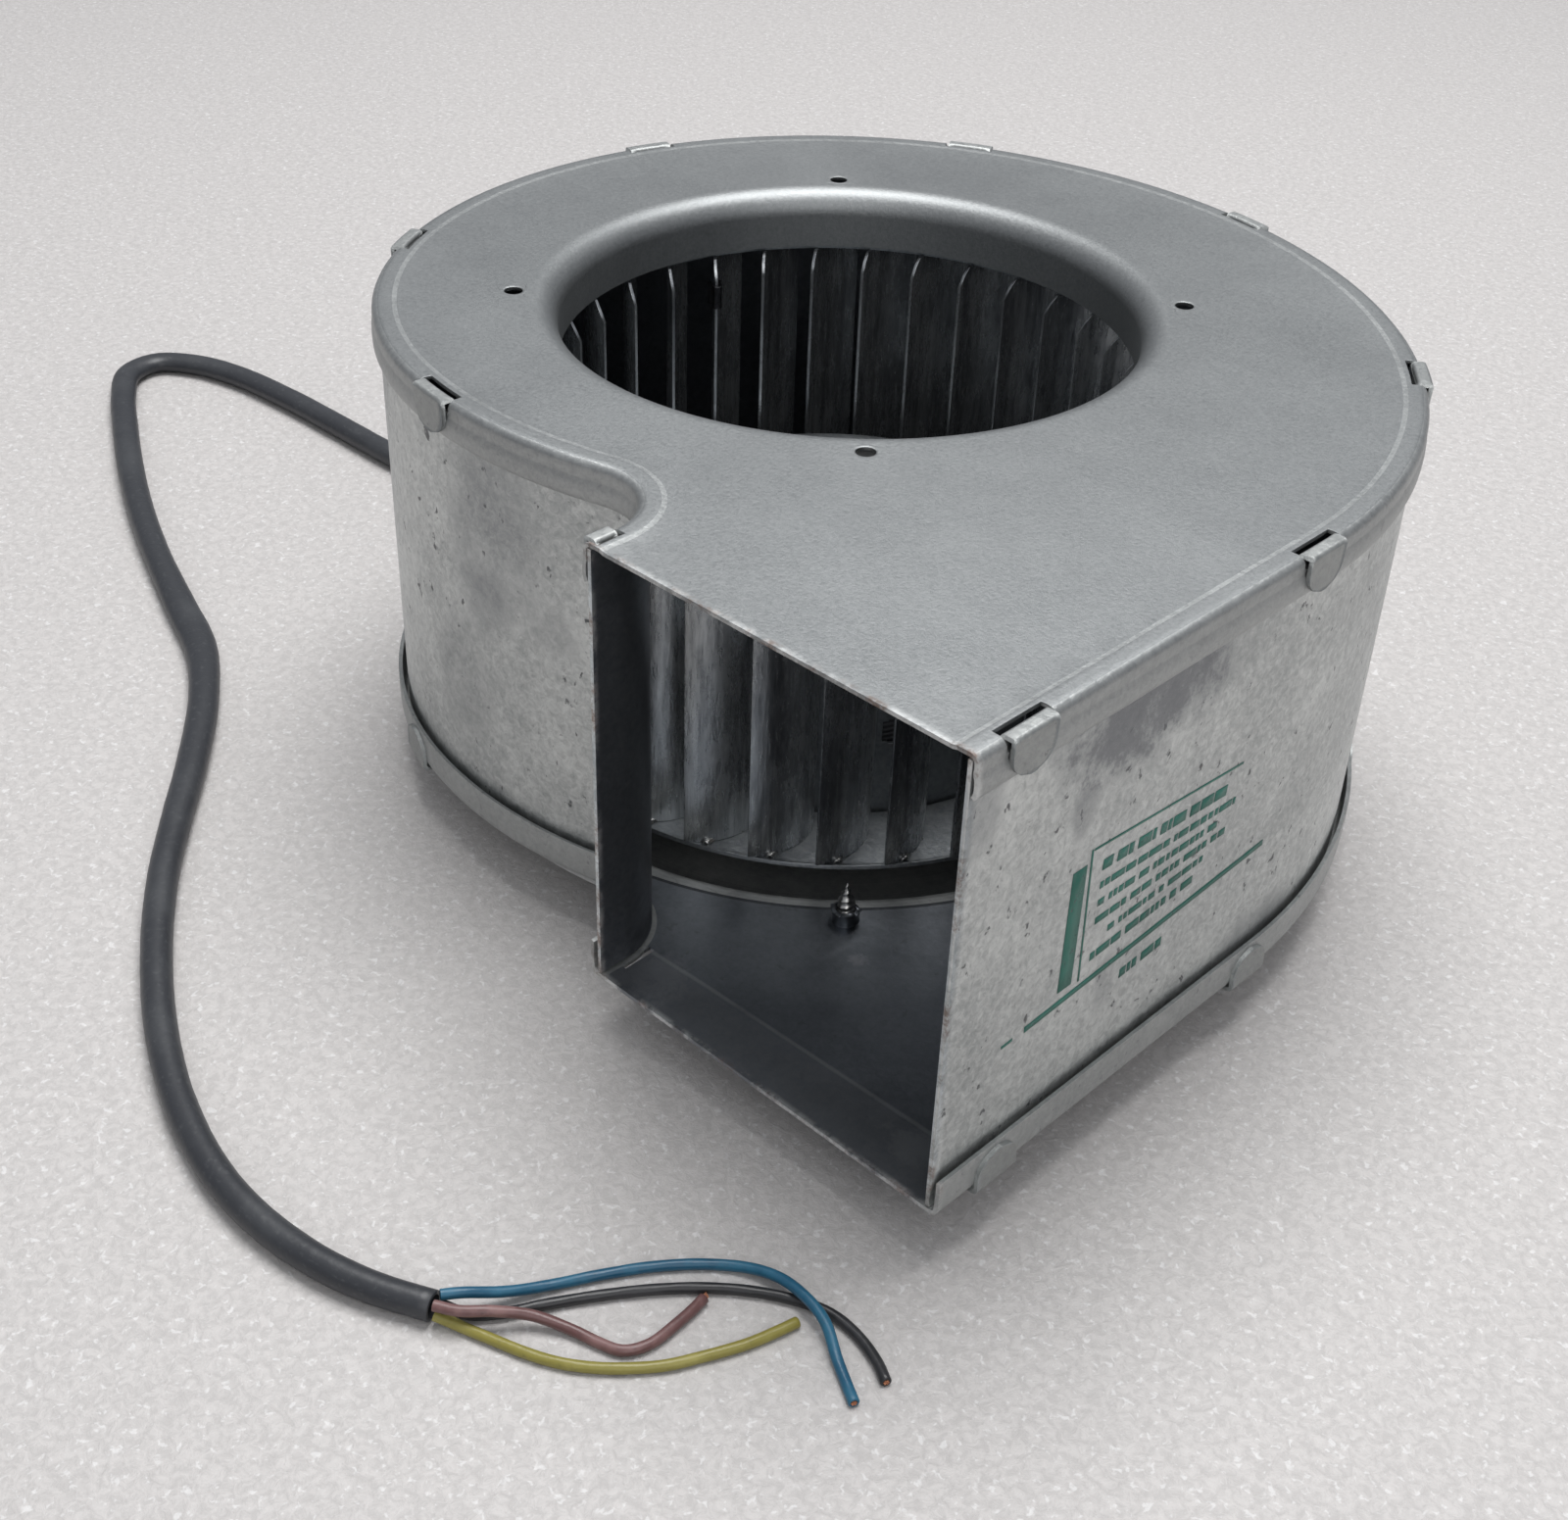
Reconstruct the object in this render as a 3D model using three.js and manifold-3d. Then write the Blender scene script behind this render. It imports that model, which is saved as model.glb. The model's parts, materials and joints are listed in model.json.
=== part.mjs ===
// Centrifugal blower with a sheet-metal scroll housing and an external-rotor motor.
// Millimetres, +Z up. The blower lies on the pan of its motor plate, with the inlet on top.
// Shapes are drawn about the fan axis; the whole group is then moved so that the origin is at the
// middle of the footprint, on the surface that the blower stands on.

import * as THREE from 'three';
import { mergeVertices } from 'three/addons/utils/BufferGeometryUtils.js';
import Module from 'manifold-3d';

const wasm = await Module();
wasm.setup();

// ---- driving dimensions ----

const sheet = 0.7; // housing sheet
const gap = 0.3; // clearance between touching pieces
const footprintCentre = { x: 11.08, y: -1.37 }; // middle of the housing, seen from the fan axis

// Scroll: offset 0 is the outer face of the side band.
const flatX = 103.3; // flat side, where the data plate was printed
const leftX = 33.6; // short left wall of the outlet duct
const frontY = -89.2; // plane of the outlet
const scroll = {
  flatEndY: -12.5,
  right: 97.4,
  back: 82.4,
  left: 70.9,
  tongue: 85,
  cutoff: 12.4,
  rightEnd: rad(111.9),
  backEnd: rad(208.9),
  leftEnd: rad(255),
};

const baseZ = 10; // underside of the back plate
const topZ = 88.6; // upper face of the inlet plate
const rimDepth = 6.5; // folded rims of the two plates
const topRim = { inner: 0.3, outer: 1.0 };
const baseRim = { inner: 0.9, outer: 1.6 };
const bandLowZ = baseZ + sheet + gap;
const bandHighZ = topZ - sheet - gap;

const throat = { radius: 50, depth: 10.5, lip: 4.5 };
const pilot = { circle: 57.6, hole: 1.5, start: rad(45.3) };

const backOpening = 69.5;
const cornerSlit = { x: leftX + 1.6, y: -82.2, width: 1.2, length: 6.4 };
const pan = {
  ring: 75.2,
  wallTop: 66,
  wallFoot: 62.5,
  step: 44,
  centre: 42,
  centreZ: 3.2,
  ringZ: 8.9,
  sheet: 0.8,
};
const plateScrew = {
  circle: 72.5,
  start: rad(-44.7),
  shank: 1.45,
  hexagon: 3.1,
  washer: 4.2,
  headLowZ: 5.2,
  washerLowZ: 7.8,
  washerHighZ: 8.6,
  taperZ: 15.2,
  tipZ: 18.4,
};
const screwCollar = { outer: 2.4, bore: 1.8, height: 3 }; // sheet drawn up round each plate screw
const flangeScrew = { circle: 28, start: rad(45), shank: 1.7, head: 3.5, hole: 2.1 };
const rivetRing = { circle: 46.6, start: rad(20), hole: 1.6 };

const rotor = { outer: 44, wall: 0.8, lowZ: 9.9, highZ: 43, corner: 5, flange: 48.8 };
const rotorWindow = { width: 3.8, height: 5, lowZ: [25.8, 33.2] };
const stator = { outer: 34, inner: 11.9, lowZ: 13.5, highZ: 33.5, slots: 12 };
const bearing = { outer: 9.4, inner: 3.3, width: 6, lowZ: 9, highZ: 28 };
const rotorSides = 27; // facets of the rotor, one to each column of windows
const shaftRadius = 3;

const wheel = { outer: 60, inner: 49.5, discZ: 11, blades: 32, firstTip: rad(-49.1), clipped: 18 };
const frontRing = { inner: 52.6, outer: 60.2 };
const clip = { back: 1.2, arm: 2.2, wall: 0.6, lowZ: 67.6, highZ: 72.4 };
const blade = { lag: rad(9.9), curve: 12.2, thickness: 0.6, lowZ: 12.1, highZ: 76.3 };

const sleeve = { diameter: 5.4, exitY: 6, exitZ: 4.7, hole: 3.55, wallX: -62.2 };
const coreDiameter = 1.64;

// ---- finishes ----

const finish = {
  zinc: surface(0xa9aeae, 0.42, 0.85),
  zincDark: surface(0x8d9392, 0.5, 0.8),
  bright: surface(0xc3c7c8, 0.3, 0.95),
  cast: surface(0x9b9d9e, 0.55, 0.8),
  lamination: surface(0x4c4e52, 0.6, 0.7),
  copper: surface(0xa0562c, 0.4, 0.7),
  nylon: surface(0xd9d4c4, 0.6, 0),
  rubber: surface(0x1f2023, 0.8, 0),
  sleeving: surface(0x34363b, 0.55, 0),
  blue: surface(0x23698a, 0.45, 0),
  black: surface(0x232428, 0.5, 0),
  brown: surface(0x7d5350, 0.5, 0),
  earth: surface(0xa39a3a, 0.45, 0),
};

function surface(color, roughness, metalness) {
  return new THREE.MeshStandardMaterial({ color, roughness, metalness });
}

// ---- helpers ----

function rad(degrees) {
  return (degrees * Math.PI) / 180;
}

function polar(radius, angle, centre = [0, 0]) {
  return [centre[0] + radius * Math.cos(angle), centre[1] + radius * Math.sin(angle)];
}

function signedVolume(geometry) {
  const p = geometry.attributes.position.array;
  const index = geometry.index.array;
  const corner = (k) => new THREE.Vector3().fromArray(p, 3 * index[k]);
  let volume = 0;
  for (let i = 0; i < index.length; i += 3) {
    volume += corner(i).dot(corner(i + 1).cross(corner(i + 2)));
  }
  return volume / 6;
}

// Joins the vertices of a geometry, drops empty triangles and turns the faces outward.
function closed(source) {
  const bare = source.clone();
  bare.deleteAttribute('normal');
  bare.deleteAttribute('uv');
  const merged = mergeVertices(bare, 1e-4);
  const index = merged.index.array;
  const kept = [];
  for (let i = 0; i < index.length; i += 3) {
    const [a, b, c] = [index[i], index[i + 1], index[i + 2]];
    if (a !== b && b !== c && c !== a) {
      kept.push(a, b, c);
    }
  }
  merged.setIndex(kept);
  if (signedVolume(merged) < 0) {
    merged.setIndex(flipped(kept));
  }
  return merged;
}

function flipped(index) {
  const turned = [];
  for (let i = 0; i < index.length; i += 3) {
    turned.push(index[i], index[i + 2], index[i + 1]);
  }
  return turned;
}

function solid(geometry) {
  const g = closed(geometry);
  return new wasm.Manifold(
    new wasm.Mesh({
      numProp: 3,
      vertProperties: new Float32Array(g.attributes.position.array),
      triVerts: new Uint32Array(g.index.array),
    }),
  );
}

function toGeometry(manifold) {
  const mesh = manifold.getMesh();
  const geometry = new THREE.BufferGeometry();
  geometry.setAttribute('position', new THREE.BufferAttribute(new Float32Array(mesh.vertProperties), 3));
  geometry.setIndex(new THREE.BufferAttribute(new Uint32Array(mesh.triVerts), 1));
  return geometry;
}

function joined(pieces) {
  return pieces.reduce((all, piece) => all.add(piece));
}

function cut(body, tools) {
  return tools.reduce((left, tool) => left.subtract(tool), body);
}

const group = new THREE.Group();
group.position.set(-footprintCentre.x, -footprintCentre.y, 0);

function put(name, shape, material, place = {}) {
  const geometry = shape.isBufferGeometry ? closed(shape) : toGeometry(shape);
  geometry.computeVertexNormals();
  const mesh = new THREE.Mesh(geometry, material.clone());
  mesh.name = name;
  mesh.position.set(...(place.at ?? [0, 0, 0]));
  mesh.rotation.set(0, 0, place.turn ?? 0);
  group.add(mesh);
  return mesh;
}

// Flat outline with optional round holes, extruded from one height to another.
function prism(points, low, high, holes = []) {
  const shape = new THREE.Shape(points.map(([x, y]) => new THREE.Vector2(x, y)));
  for (const hole of holes) {
    shape.holes.push(new THREE.Path(hole.map(([x, y]) => new THREE.Vector2(x, y))));
  }
  const geometry = new THREE.ExtrudeGeometry(shape, { depth: high - low, bevelEnabled: false });
  geometry.translate(0, 0, low);
  return geometry;
}

function circle(radius, centre = [0, 0], count = 24) {
  return Array.from({ length: count }, (_, i) => polar(radius, (i * 2 * Math.PI) / count, centre));
}

function disc(radius, low, high, centre = [0, 0], count = 24) {
  return prism(circle(radius, centre, count), low, high);
}

// Profile of [radius, height] pairs turned about the Z axis.
function turned(profile, segments = 48) {
  const loop = profile.map(([r, z]) => new THREE.Vector2(r, z));
  const onAxis = profile[0][0] === 0 && profile[profile.length - 1][0] === 0;
  if (!onAxis) {
    loop.push(loop[0].clone());
  }
  const geometry = new THREE.LatheGeometry(loop, segments);
  geometry.rotateX(Math.PI / 2);
  return geometry;
}

function ring(inner, outer, low, high, segments = 48) {
  return turned([[inner, low], [outer, low], [outer, high], [inner, high]], segments);
}

function arc(centre, radius, from, to, step = rad(9)) {
  const count = Math.max(1, Math.ceil(Math.abs(to - from) / step));
  return Array.from({ length: count + 1 }, (_, i) => polar(radius, from + ((to - from) * i) / count, centre));
}

// ---- scroll outline ----

// Centres of the arcs, each touching the one before it.
const rightCentre = [flatX - scroll.right, scroll.flatEndY];
const backCentre = polar(scroll.right - scroll.back, scroll.rightEnd, rightCentre);
const leftCentre = polar(scroll.back - scroll.left, scroll.backEnd, backCentre);
const tongueCentre = polar(scroll.left - scroll.tongue, scroll.leftEnd, leftCentre);
const cutoffX = leftX - scroll.cutoff;
const cutoffReach = scroll.tongue + scroll.cutoff;
const cutoffDrop = Math.sqrt(cutoffReach ** 2 - (cutoffX - tongueCentre[0]) ** 2);
const cutoffCentre = [cutoffX, tongueCentre[1] - cutoffDrop];
const tongueEnd =
  2 * Math.PI + Math.atan2(cutoffCentre[1] - tongueCentre[1], cutoffCentre[0] - tongueCentre[0]);

// From the front corner of the flat side, round the scroll, to the front corner of the left wall.
function scrollLine(offset, front = frontY) {
  return [
    [flatX + offset, front],
    ...arc(rightCentre, scroll.right + offset, 0, scroll.rightEnd),
    ...arc(backCentre, scroll.back + offset, scroll.rightEnd, scroll.backEnd).slice(1),
    ...arc(leftCentre, scroll.left + offset, scroll.backEnd, scroll.leftEnd).slice(1),
    ...arc(tongueCentre, scroll.tongue + offset, scroll.leftEnd, tongueEnd).slice(1),
    ...arc(cutoffCentre, scroll.cutoff - offset, tongueEnd - Math.PI, 0, rad(15)).slice(1),
    [leftX - offset, front],
  ];
}

function strip(outer, inner, low, high) {
  return prism([...scrollLine(outer), ...scrollLine(inner).reverse()], low, high);
}

// A place on the band's outer face, with the direction that points away from the housing.
function onArc(centre, radius, degrees) {
  const angle = rad(degrees);
  return { at: polar(radius, angle, centre), out: angle };
}

function onFlat(y) {
  return { at: [flatX, y], out: 0 };
}

const leftWallTab = { at: [leftX, -86.2], out: Math.PI };
const sharedTabs = [
  onArc(leftCentre, scroll.left, 210.2),
  onArc(backCentre, scroll.back, 163.1),
  onArc(backCentre, scroll.back, 116.8),
  onArc(rightCentre, scroll.right, 79.1),
  onArc(rightCentre, scroll.right, 38),
  onFlat(-14),
];
const topTabs = [...sharedTabs, onArc(tongueCentre, scroll.tongue, 261.6), onFlat(-79)];
const baseTabs = [...sharedTabs, onArc(leftCentre, scroll.left, 250), onFlat(-77)];
const tab = { width: 8.6, wallWidth: 4, leg: 7.4, slotSide: 0.7, slotIn: 1.6 };

function placed(geometry, place) {
  geometry.rotateZ(place.out);
  geometry.translate(place.at[0], place.at[1], 0);
  return geometry;
}

// Fold-over tab: it stands up from the band's edge, turns outward over the rim and folds back along it.
// way is +1 at the inlet plate and -1 at the back plate.
function foldTab(place, rim, faceZ, way, width) {
  const edge = way > 0 ? bandHighZ : bandLowZ;
  const inside = rim.outer + 0.25;
  const over = faceZ + way * 0.25;
  const crest = over + way * sheet;
  const root = edge - way * 2;
  const box = (x0, x1, z0, z1) => {
    const geometry = new THREE.BoxGeometry(x1 - x0, width, Math.abs(z1 - z0));
    geometry.translate((x0 + x1) / 2, 0, (z0 + z1) / 2);
    return solid(placed(geometry, place));
  };
  const legEnd = crest - way * tab.leg;
  const radius = width / 2;
  const legShape = [
    [-radius, crest],
    [radius, crest],
    ...arc([0, legEnd + way * radius * 0.8], radius, 0, -way * Math.PI, rad(36)).map(([y, z]) => [
      y,
      legEnd + way * radius * 0.8 + (z - legEnd - way * radius * 0.8) * 0.8,
    ]),
  ];
  const leg = prism(legShape, inside, inside + sheet);
  // the outline is drawn in the YZ plane: x of the drawing is Y, y is Z, and the depth is X
  leg.applyMatrix4(new THREE.Matrix4().set(0, 0, 1, 0, 1, 0, 0, 0, 0, 1, 0, 0, 0, 0, 0, 1));
  return joined([
    box(-sheet - 0.2, -0.2, root, crest),
    box(-sheet - 0.2, inside + sheet, over, crest),
    solid(placed(leg, place)),
  ]);
}

function tabSlot(place, width, low, high) {
  const geometry = new THREE.BoxGeometry(tab.slotIn + gap, width + 2 * tab.slotSide, high - low);
  geometry.translate((gap - tab.slotIn) / 2, 0, (low + high) / 2);
  return solid(placed(geometry, place));
}

function sideBand() {
  const body = solid(strip(0, -sheet, bandLowZ, bandHighZ));
  const upper = topTabs.map((place) => foldTab(place, topRim, topZ, 1, tab.width));
  const lower = baseTabs.map((place) => foldTab(place, baseRim, baseZ, -1, tab.width));
  const wall = foldTab(leftWallTab, topRim, topZ, 1, tab.wallWidth);
  return joined([body, ...upper, ...lower, wall]);
}

function inletPlate() {
  const edge = throat.radius + throat.lip;
  const lipLow = topZ - throat.lip;
  const mouth = turned(
    [
      ...arc([edge, lipLow], throat.lip, rad(90), rad(180), rad(30)),
      [throat.radius, topZ - throat.depth],
      [throat.radius + sheet, topZ - throat.depth],
      ...arc([edge, lipLow], throat.lip - sheet, rad(180), rad(90), rad(30)),
      [edge + 0.6, topZ - sheet],
      [edge + 0.6, topZ],
    ],
    40,
  );
  const body = joined([
    solid(prism(scrollLine(topRim.outer), topZ - sheet, topZ, [circle(edge + 0.3, [0, 0], 40)])),
    solid(strip(topRim.outer, topRim.inner, topZ - rimDepth, topZ)),
    solid(mouth),
  ]);
  const slots = topTabs.map((place) => tabSlot(place, tab.width, topZ - 1.5, topZ + 1));
  const wallSlot = tabSlot(leftWallTab, tab.wallWidth, topZ - 1.5, topZ + 1);
  const holes = [0, 1, 2, 3].map((i) => {
    const at = polar(pilot.circle, pilot.start + (i * Math.PI) / 2);
    return solid(disc(pilot.hole, topZ - 2, topZ + 1, at, 8));
  });
  return cut(body, [...slots, wallSlot, ...holes]);
}

function plateScrewPlaces() {
  return [0, 1, 2, 3].map((i) => polar(plateScrew.circle, plateScrew.start + (i * Math.PI) / 2));
}

function backPlate() {
  const { outer, bore, height } = screwCollar;
  const collars = plateScrewPlaces().map((at) => solid(disc(outer, baseZ, baseZ + height, at, 8)));
  const body = joined([
    solid(prism(scrollLine(baseRim.outer), baseZ, baseZ + sheet, [circle(backOpening, [0, 0], 40)])),
    solid(strip(baseRim.outer, baseRim.inner, baseZ, baseZ + rimDepth)),
    ...collars,
  ]);
  const slots = baseTabs.map((place) => tabSlot(place, tab.width, baseZ - 1, baseZ + 1.5));
  const bores = plateScrewPlaces().map((at) => solid(disc(bore, baseZ - 1, baseZ + height + 1, at, 8)));
  const slit = new THREE.BoxGeometry(cornerSlit.width, cornerSlit.length, 3);
  slit.translate(cornerSlit.x, cornerSlit.y, baseZ);
  return cut(body, [...slots, ...bores, solid(slit)]);
}

function motorPlate() {
  const t = pan.sheet;
  const body = solid(
    turned(
      [
        [5, pan.centreZ],
        [pan.centre, pan.centreZ],
        [pan.step, 0],
        [pan.wallFoot, 0],
        [pan.wallTop, pan.ringZ],
        [pan.ring, pan.ringZ],
        [pan.ring, pan.ringZ + t],
        [pan.wallTop - 0.6, pan.ringZ + t],
        [pan.wallFoot - 0.6, t],
        [pan.step + 0.4, t],
        [pan.centre + 0.4, pan.centreZ + t],
        [5, pan.centreZ + t],
      ],
      36,
    ),
  );
  const bores = plateScrewPlaces().map((at) => solid(disc(screwCollar.bore, 8, 11, at, 8)));
  const flangeBores = flangeScrewPlaces().map((at) => solid(disc(flangeScrew.hole, 2, 6, at, 8)));
  const exit = disc(sleeve.hole, 0, 12, [0, 0], 12);
  exit.rotateY(-Math.PI / 2);
  exit.translate(-58, sleeve.exitY, sleeve.exitZ);
  return cut(body, [...bores, ...flangeBores, solid(exit)]);
}

function flangeScrewPlaces() {
  return [0, 1, 2, 3].map((i) => polar(flangeScrew.circle, flangeScrew.start + (i * Math.PI) / 2));
}

// Hexagon washer-head self-tapping screw, point up.
function selfTapper() {
  const { shank, hexagon, washer, headLowZ, washerLowZ, washerHighZ, taperZ, tipZ } = plateScrew;
  const pinLowZ = headLowZ + 2;
  const pin = turned([[0, pinLowZ], [shank, pinLowZ], [shank, taperZ], [0.35, tipZ], [0, tipZ]], 12);
  const flange = disc(washer, washerLowZ, washerHighZ, [0, 0], 20);
  const head = disc(hexagon, headLowZ, washerLowZ + 0.2, [0, 0], 6);
  return joined([solid(pin), solid(flange), solid(head)]);
}

function panHead() {
  const { shank, head } = flangeScrew;
  const profile = [
    [0, 0.9],
    [head - 0.7, 0.9],
    [head, 1.7],
    [head, 2.9],
    [shank, 2.9],
    [shank, 7.4],
    [0, 7.4],
  ];
  return turned(profile, 16);
}

// ---- motor ----

function statorFlange() {
  const body = solid(
    turned(
      [
        [6, 4.3],
        [34, 4.3],
        [34, 6.6],
        [32.6, 8],
        [11.6, 8],
        [11.6, 36],
        [9.7, 36],
        [9.7, 8.7],
        [6, 8.7],
      ],
      32,
    ),
  );
  const bores = flangeScrewPlaces().map((at) => solid(disc(2, 3, 7.7, at, 8)));
  return cut(body, bores);
}

// Laminated stack: teeth with tips that nearly close the slots.
function statorStack() {
  const pitch = (2 * Math.PI) / stator.slots;
  const outline = [];
  for (let i = 0; i < stator.slots; i += 1) {
    const slot = i * pitch + pitch / 2;
    outline.push(...arc([0, 0], stator.outer, slot - pitch + rad(2), slot - rad(2), rad(9)));
    outline.push(polar(stator.outer - 1.4, slot - rad(2)));
    outline.push(polar(stator.outer - 3.2, slot - rad(8)));
    outline.push(polar(18.5, slot - rad(7)));
    outline.push(polar(18.5, slot + rad(7)));
    outline.push(polar(stator.outer - 3.2, slot + rad(8)));
    outline.push(polar(stator.outer - 1.4, slot + rad(2)));
  }
  return prism(outline, stator.lowZ, stator.highZ, [circle(stator.inner)]);
}

// One coil of the two-phase winding: two slot legs joined by an arc over each end of the stack.
function coil(middle, inner, outer, reach) {
  const half = rad(75);
  const legShape = (slot) => [
    polar(inner, slot - rad(5.2)),
    polar(outer, slot - rad(5.6)),
    polar(outer, slot + rad(5.6)),
    polar(inner, slot + rad(5.2)),
  ];
  const low = stator.lowZ - 0.6 - reach;
  const high = stator.highZ + 0.6 + reach;
  const sector = (z0, z1) =>
    solid(
      prism(
        [
          ...arc([0, 0], outer, middle - half - rad(5), middle + half + rad(5), rad(20)),
          ...arc([0, 0], inner, middle + half + rad(5), middle - half - rad(5), rad(20)),
        ],
        z0,
        z1,
      ),
    );
  return joined([
    solid(prism(legShape(middle - half), low, high)),
    solid(prism(legShape(middle + half), low, high)),
    sector(low, low + 1.5),
    sector(high - 1.5, high),
  ]);
}

function endInsulator(low, high) {
  const openings = Array.from({ length: stator.slots }, (_, i) => {
    const slot = ((i + 0.5) * 2 * Math.PI) / stator.slots;
    return [
      polar(18.2, slot - rad(7)),
      polar(18.2, slot + rad(7)),
      polar(30.6, slot + rad(7)),
      polar(30.6, slot - rad(7)),
    ];
  });
  return prism(circle(32.4, [0, 0], 24), low, high, [circle(stator.inner), ...openings]);
}

function ballRing(low) {
  const middle = (bearing.outer - 1.5 + bearing.inner + 1.4) / 2;
  const z = low + bearing.width / 2;
  return turned(circle(1.15, [middle, z], 6), 16);
}

function rotorCup() {
  const { outer, wall, lowZ, highZ, corner, flange } = rotor;
  const cornerAt = [outer - corner, highZ - corner];
  const cup = solid(
    turned(
      [
        [0, highZ],
        ...arc(cornerAt, corner, rad(90), 0, rad(30)),
        [outer, lowZ + wall],
        [flange, lowZ + wall],
        [flange, lowZ],
        [outer - wall, lowZ],
        ...arc(cornerAt, corner - wall, 0, rad(90), rad(30)),
        [7, highZ - wall],
        [7, 36.5],
        [shaftRadius + gap, 36.5],
        [shaftRadius + gap, 41.6],
        [0, 41.6],
      ],
      rotorSides,
    ),
  );
  const windows = [];
  for (const low of rotorWindow.lowZ) {
    for (let i = 0; i < rotorSides - 1; i += 2) {
      const window = new THREE.BoxGeometry(3, rotorWindow.width, rotorWindow.height);
      window.translate(outer, 0, low + rotorWindow.height / 2);
      window.rotateZ(((i + 0.5) * 2 * Math.PI) / rotorSides);
      windows.push(solid(window));
    }
  }
  return cut(cup, [...windows, ...rivetHoles()]);
}

function rivetPlaces() {
  return [0, 1, 2, 3].map((i) => polar(rivetRing.circle, rivetRing.start + (i * Math.PI) / 2));
}

function rivetHoles() {
  return rivetPlaces().map((at) => solid(disc(rivetRing.hole, 9, 13, at, 8)));
}

function rivet() {
  const profile = [
    [0, 8.8],
    [1.7, 9],
    [2, 9.6],
    [1.3, 9.6],
    [1.3, 12.1],
    [2, 12.1],
    [1.6, 12.9],
    [0, 13],
  ];
  return turned(profile, 10);
}

// ---- impeller ----

function wheelDisc() {
  const body = solid(ring(rotor.outer + gap, wheel.outer, wheel.discZ, wheel.discZ + 0.8, 40));
  return cut(body, rivetHoles());
}

// Centre line of a forward-curved blade whose tip is at angle 0, from the tip to the inner edge.
function bladeLine(offset) {
  const tip = new THREE.Vector2(wheel.outer - 0.3, 0);
  const root = new THREE.Vector2(...polar(wheel.inner, blade.lag));
  const chord = root.clone().sub(tip);
  const middle = tip.clone().add(root).multiplyScalar(0.5);
  const drop = Math.sqrt(blade.curve ** 2 - (chord.length() / 2) ** 2);
  const normal = new THREE.Vector2(chord.y, -chord.x).normalize();
  const centre = middle.clone().addScaledVector(normal, -drop);
  const from = Math.atan2(tip.y - centre.y, tip.x - centre.x);
  const to = Math.atan2(root.y - centre.y, root.x - centre.x);
  return arc([centre.x, centre.y], blade.curve + offset, from, to, rad(24));
}

function bladeCage() {
  const half = blade.thickness / 2;
  const outline = [...bladeLine(half), ...bladeLine(-half).reverse()];
  const blades = [];
  for (let i = 0; i < wheel.blades; i += 1) {
    const one = prism(outline, blade.lowZ, blade.highZ);
    one.rotateZ(wheel.firstTip + (i * 2 * Math.PI) / wheel.blades);
    blades.push(solid(one));
  }
  const foot = solid(ring(52.5, 57.5, blade.lowZ, blade.lowZ + 0.5, 32));
  return joined([foot, ...blades]);
}

// Small spring clip pushed over the inner edge of one blade.
function balanceClip() {
  const { back, arm, wall } = clip;
  const slot = blade.thickness / 2 + gap + 0.15;
  const shape = [
    [-back, -slot - wall],
    [arm, -slot - wall],
    [arm, -slot],
    [-back + wall, -slot],
    [-back + wall, slot],
    [arm, slot],
    [arm, slot + wall],
    [-back, slot + wall],
  ];
  return prism(shape, clip.lowZ, clip.highZ);
}

// ---- cable ----

// Centre line of the sleeve: out of the grommet, round the left of the housing to the front.
const sleeveRoute = [
  [-47, 6, 4.7],
  [-58, 6, 4.7],
  [-69, 6, 4.65],
  [-82, 6, 3.9],
  [-96, 5.6, 3.0],
  [-120, 4.8, 2.75],
  [-147, 4, 2.75],
  [-168, 4, 2.75],
  [-186, 3.7, 2.75],
  [-205, 1.9, 2.75],
  [-218, -2.2, 2.75],
  [-225.3, -8.5, 2.75],
  [-224, -17, 2.75],
  [-213, -25.5, 2.75],
  [-200, -33, 2.75],
  [-179.5, -44, 2.75],
  [-159.6, -53.5, 2.75],
  [-140.2, -61.5, 2.75],
  [-120.6, -68.6, 2.75],
  [-103, -75, 2.75],
  [-86.5, -85, 2.75],
  [-69.5, -98.6, 2.75],
  [-57.1, -109.6, 2.75],
  [-44.2, -120.5, 2.75],
  [-29.2, -131.2, 2.75],
  [-11.8, -141.4, 2.75],
  [4.7, -148.6, 2.75],
  [20, -152.7, 2.75],
  [32.6, -153.7, 2.75],
  [44.6, -152.4, 2.75],
  [54.2, -149.6, 2.75],
  [62.9, -145.5, 2.75],
];

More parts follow.
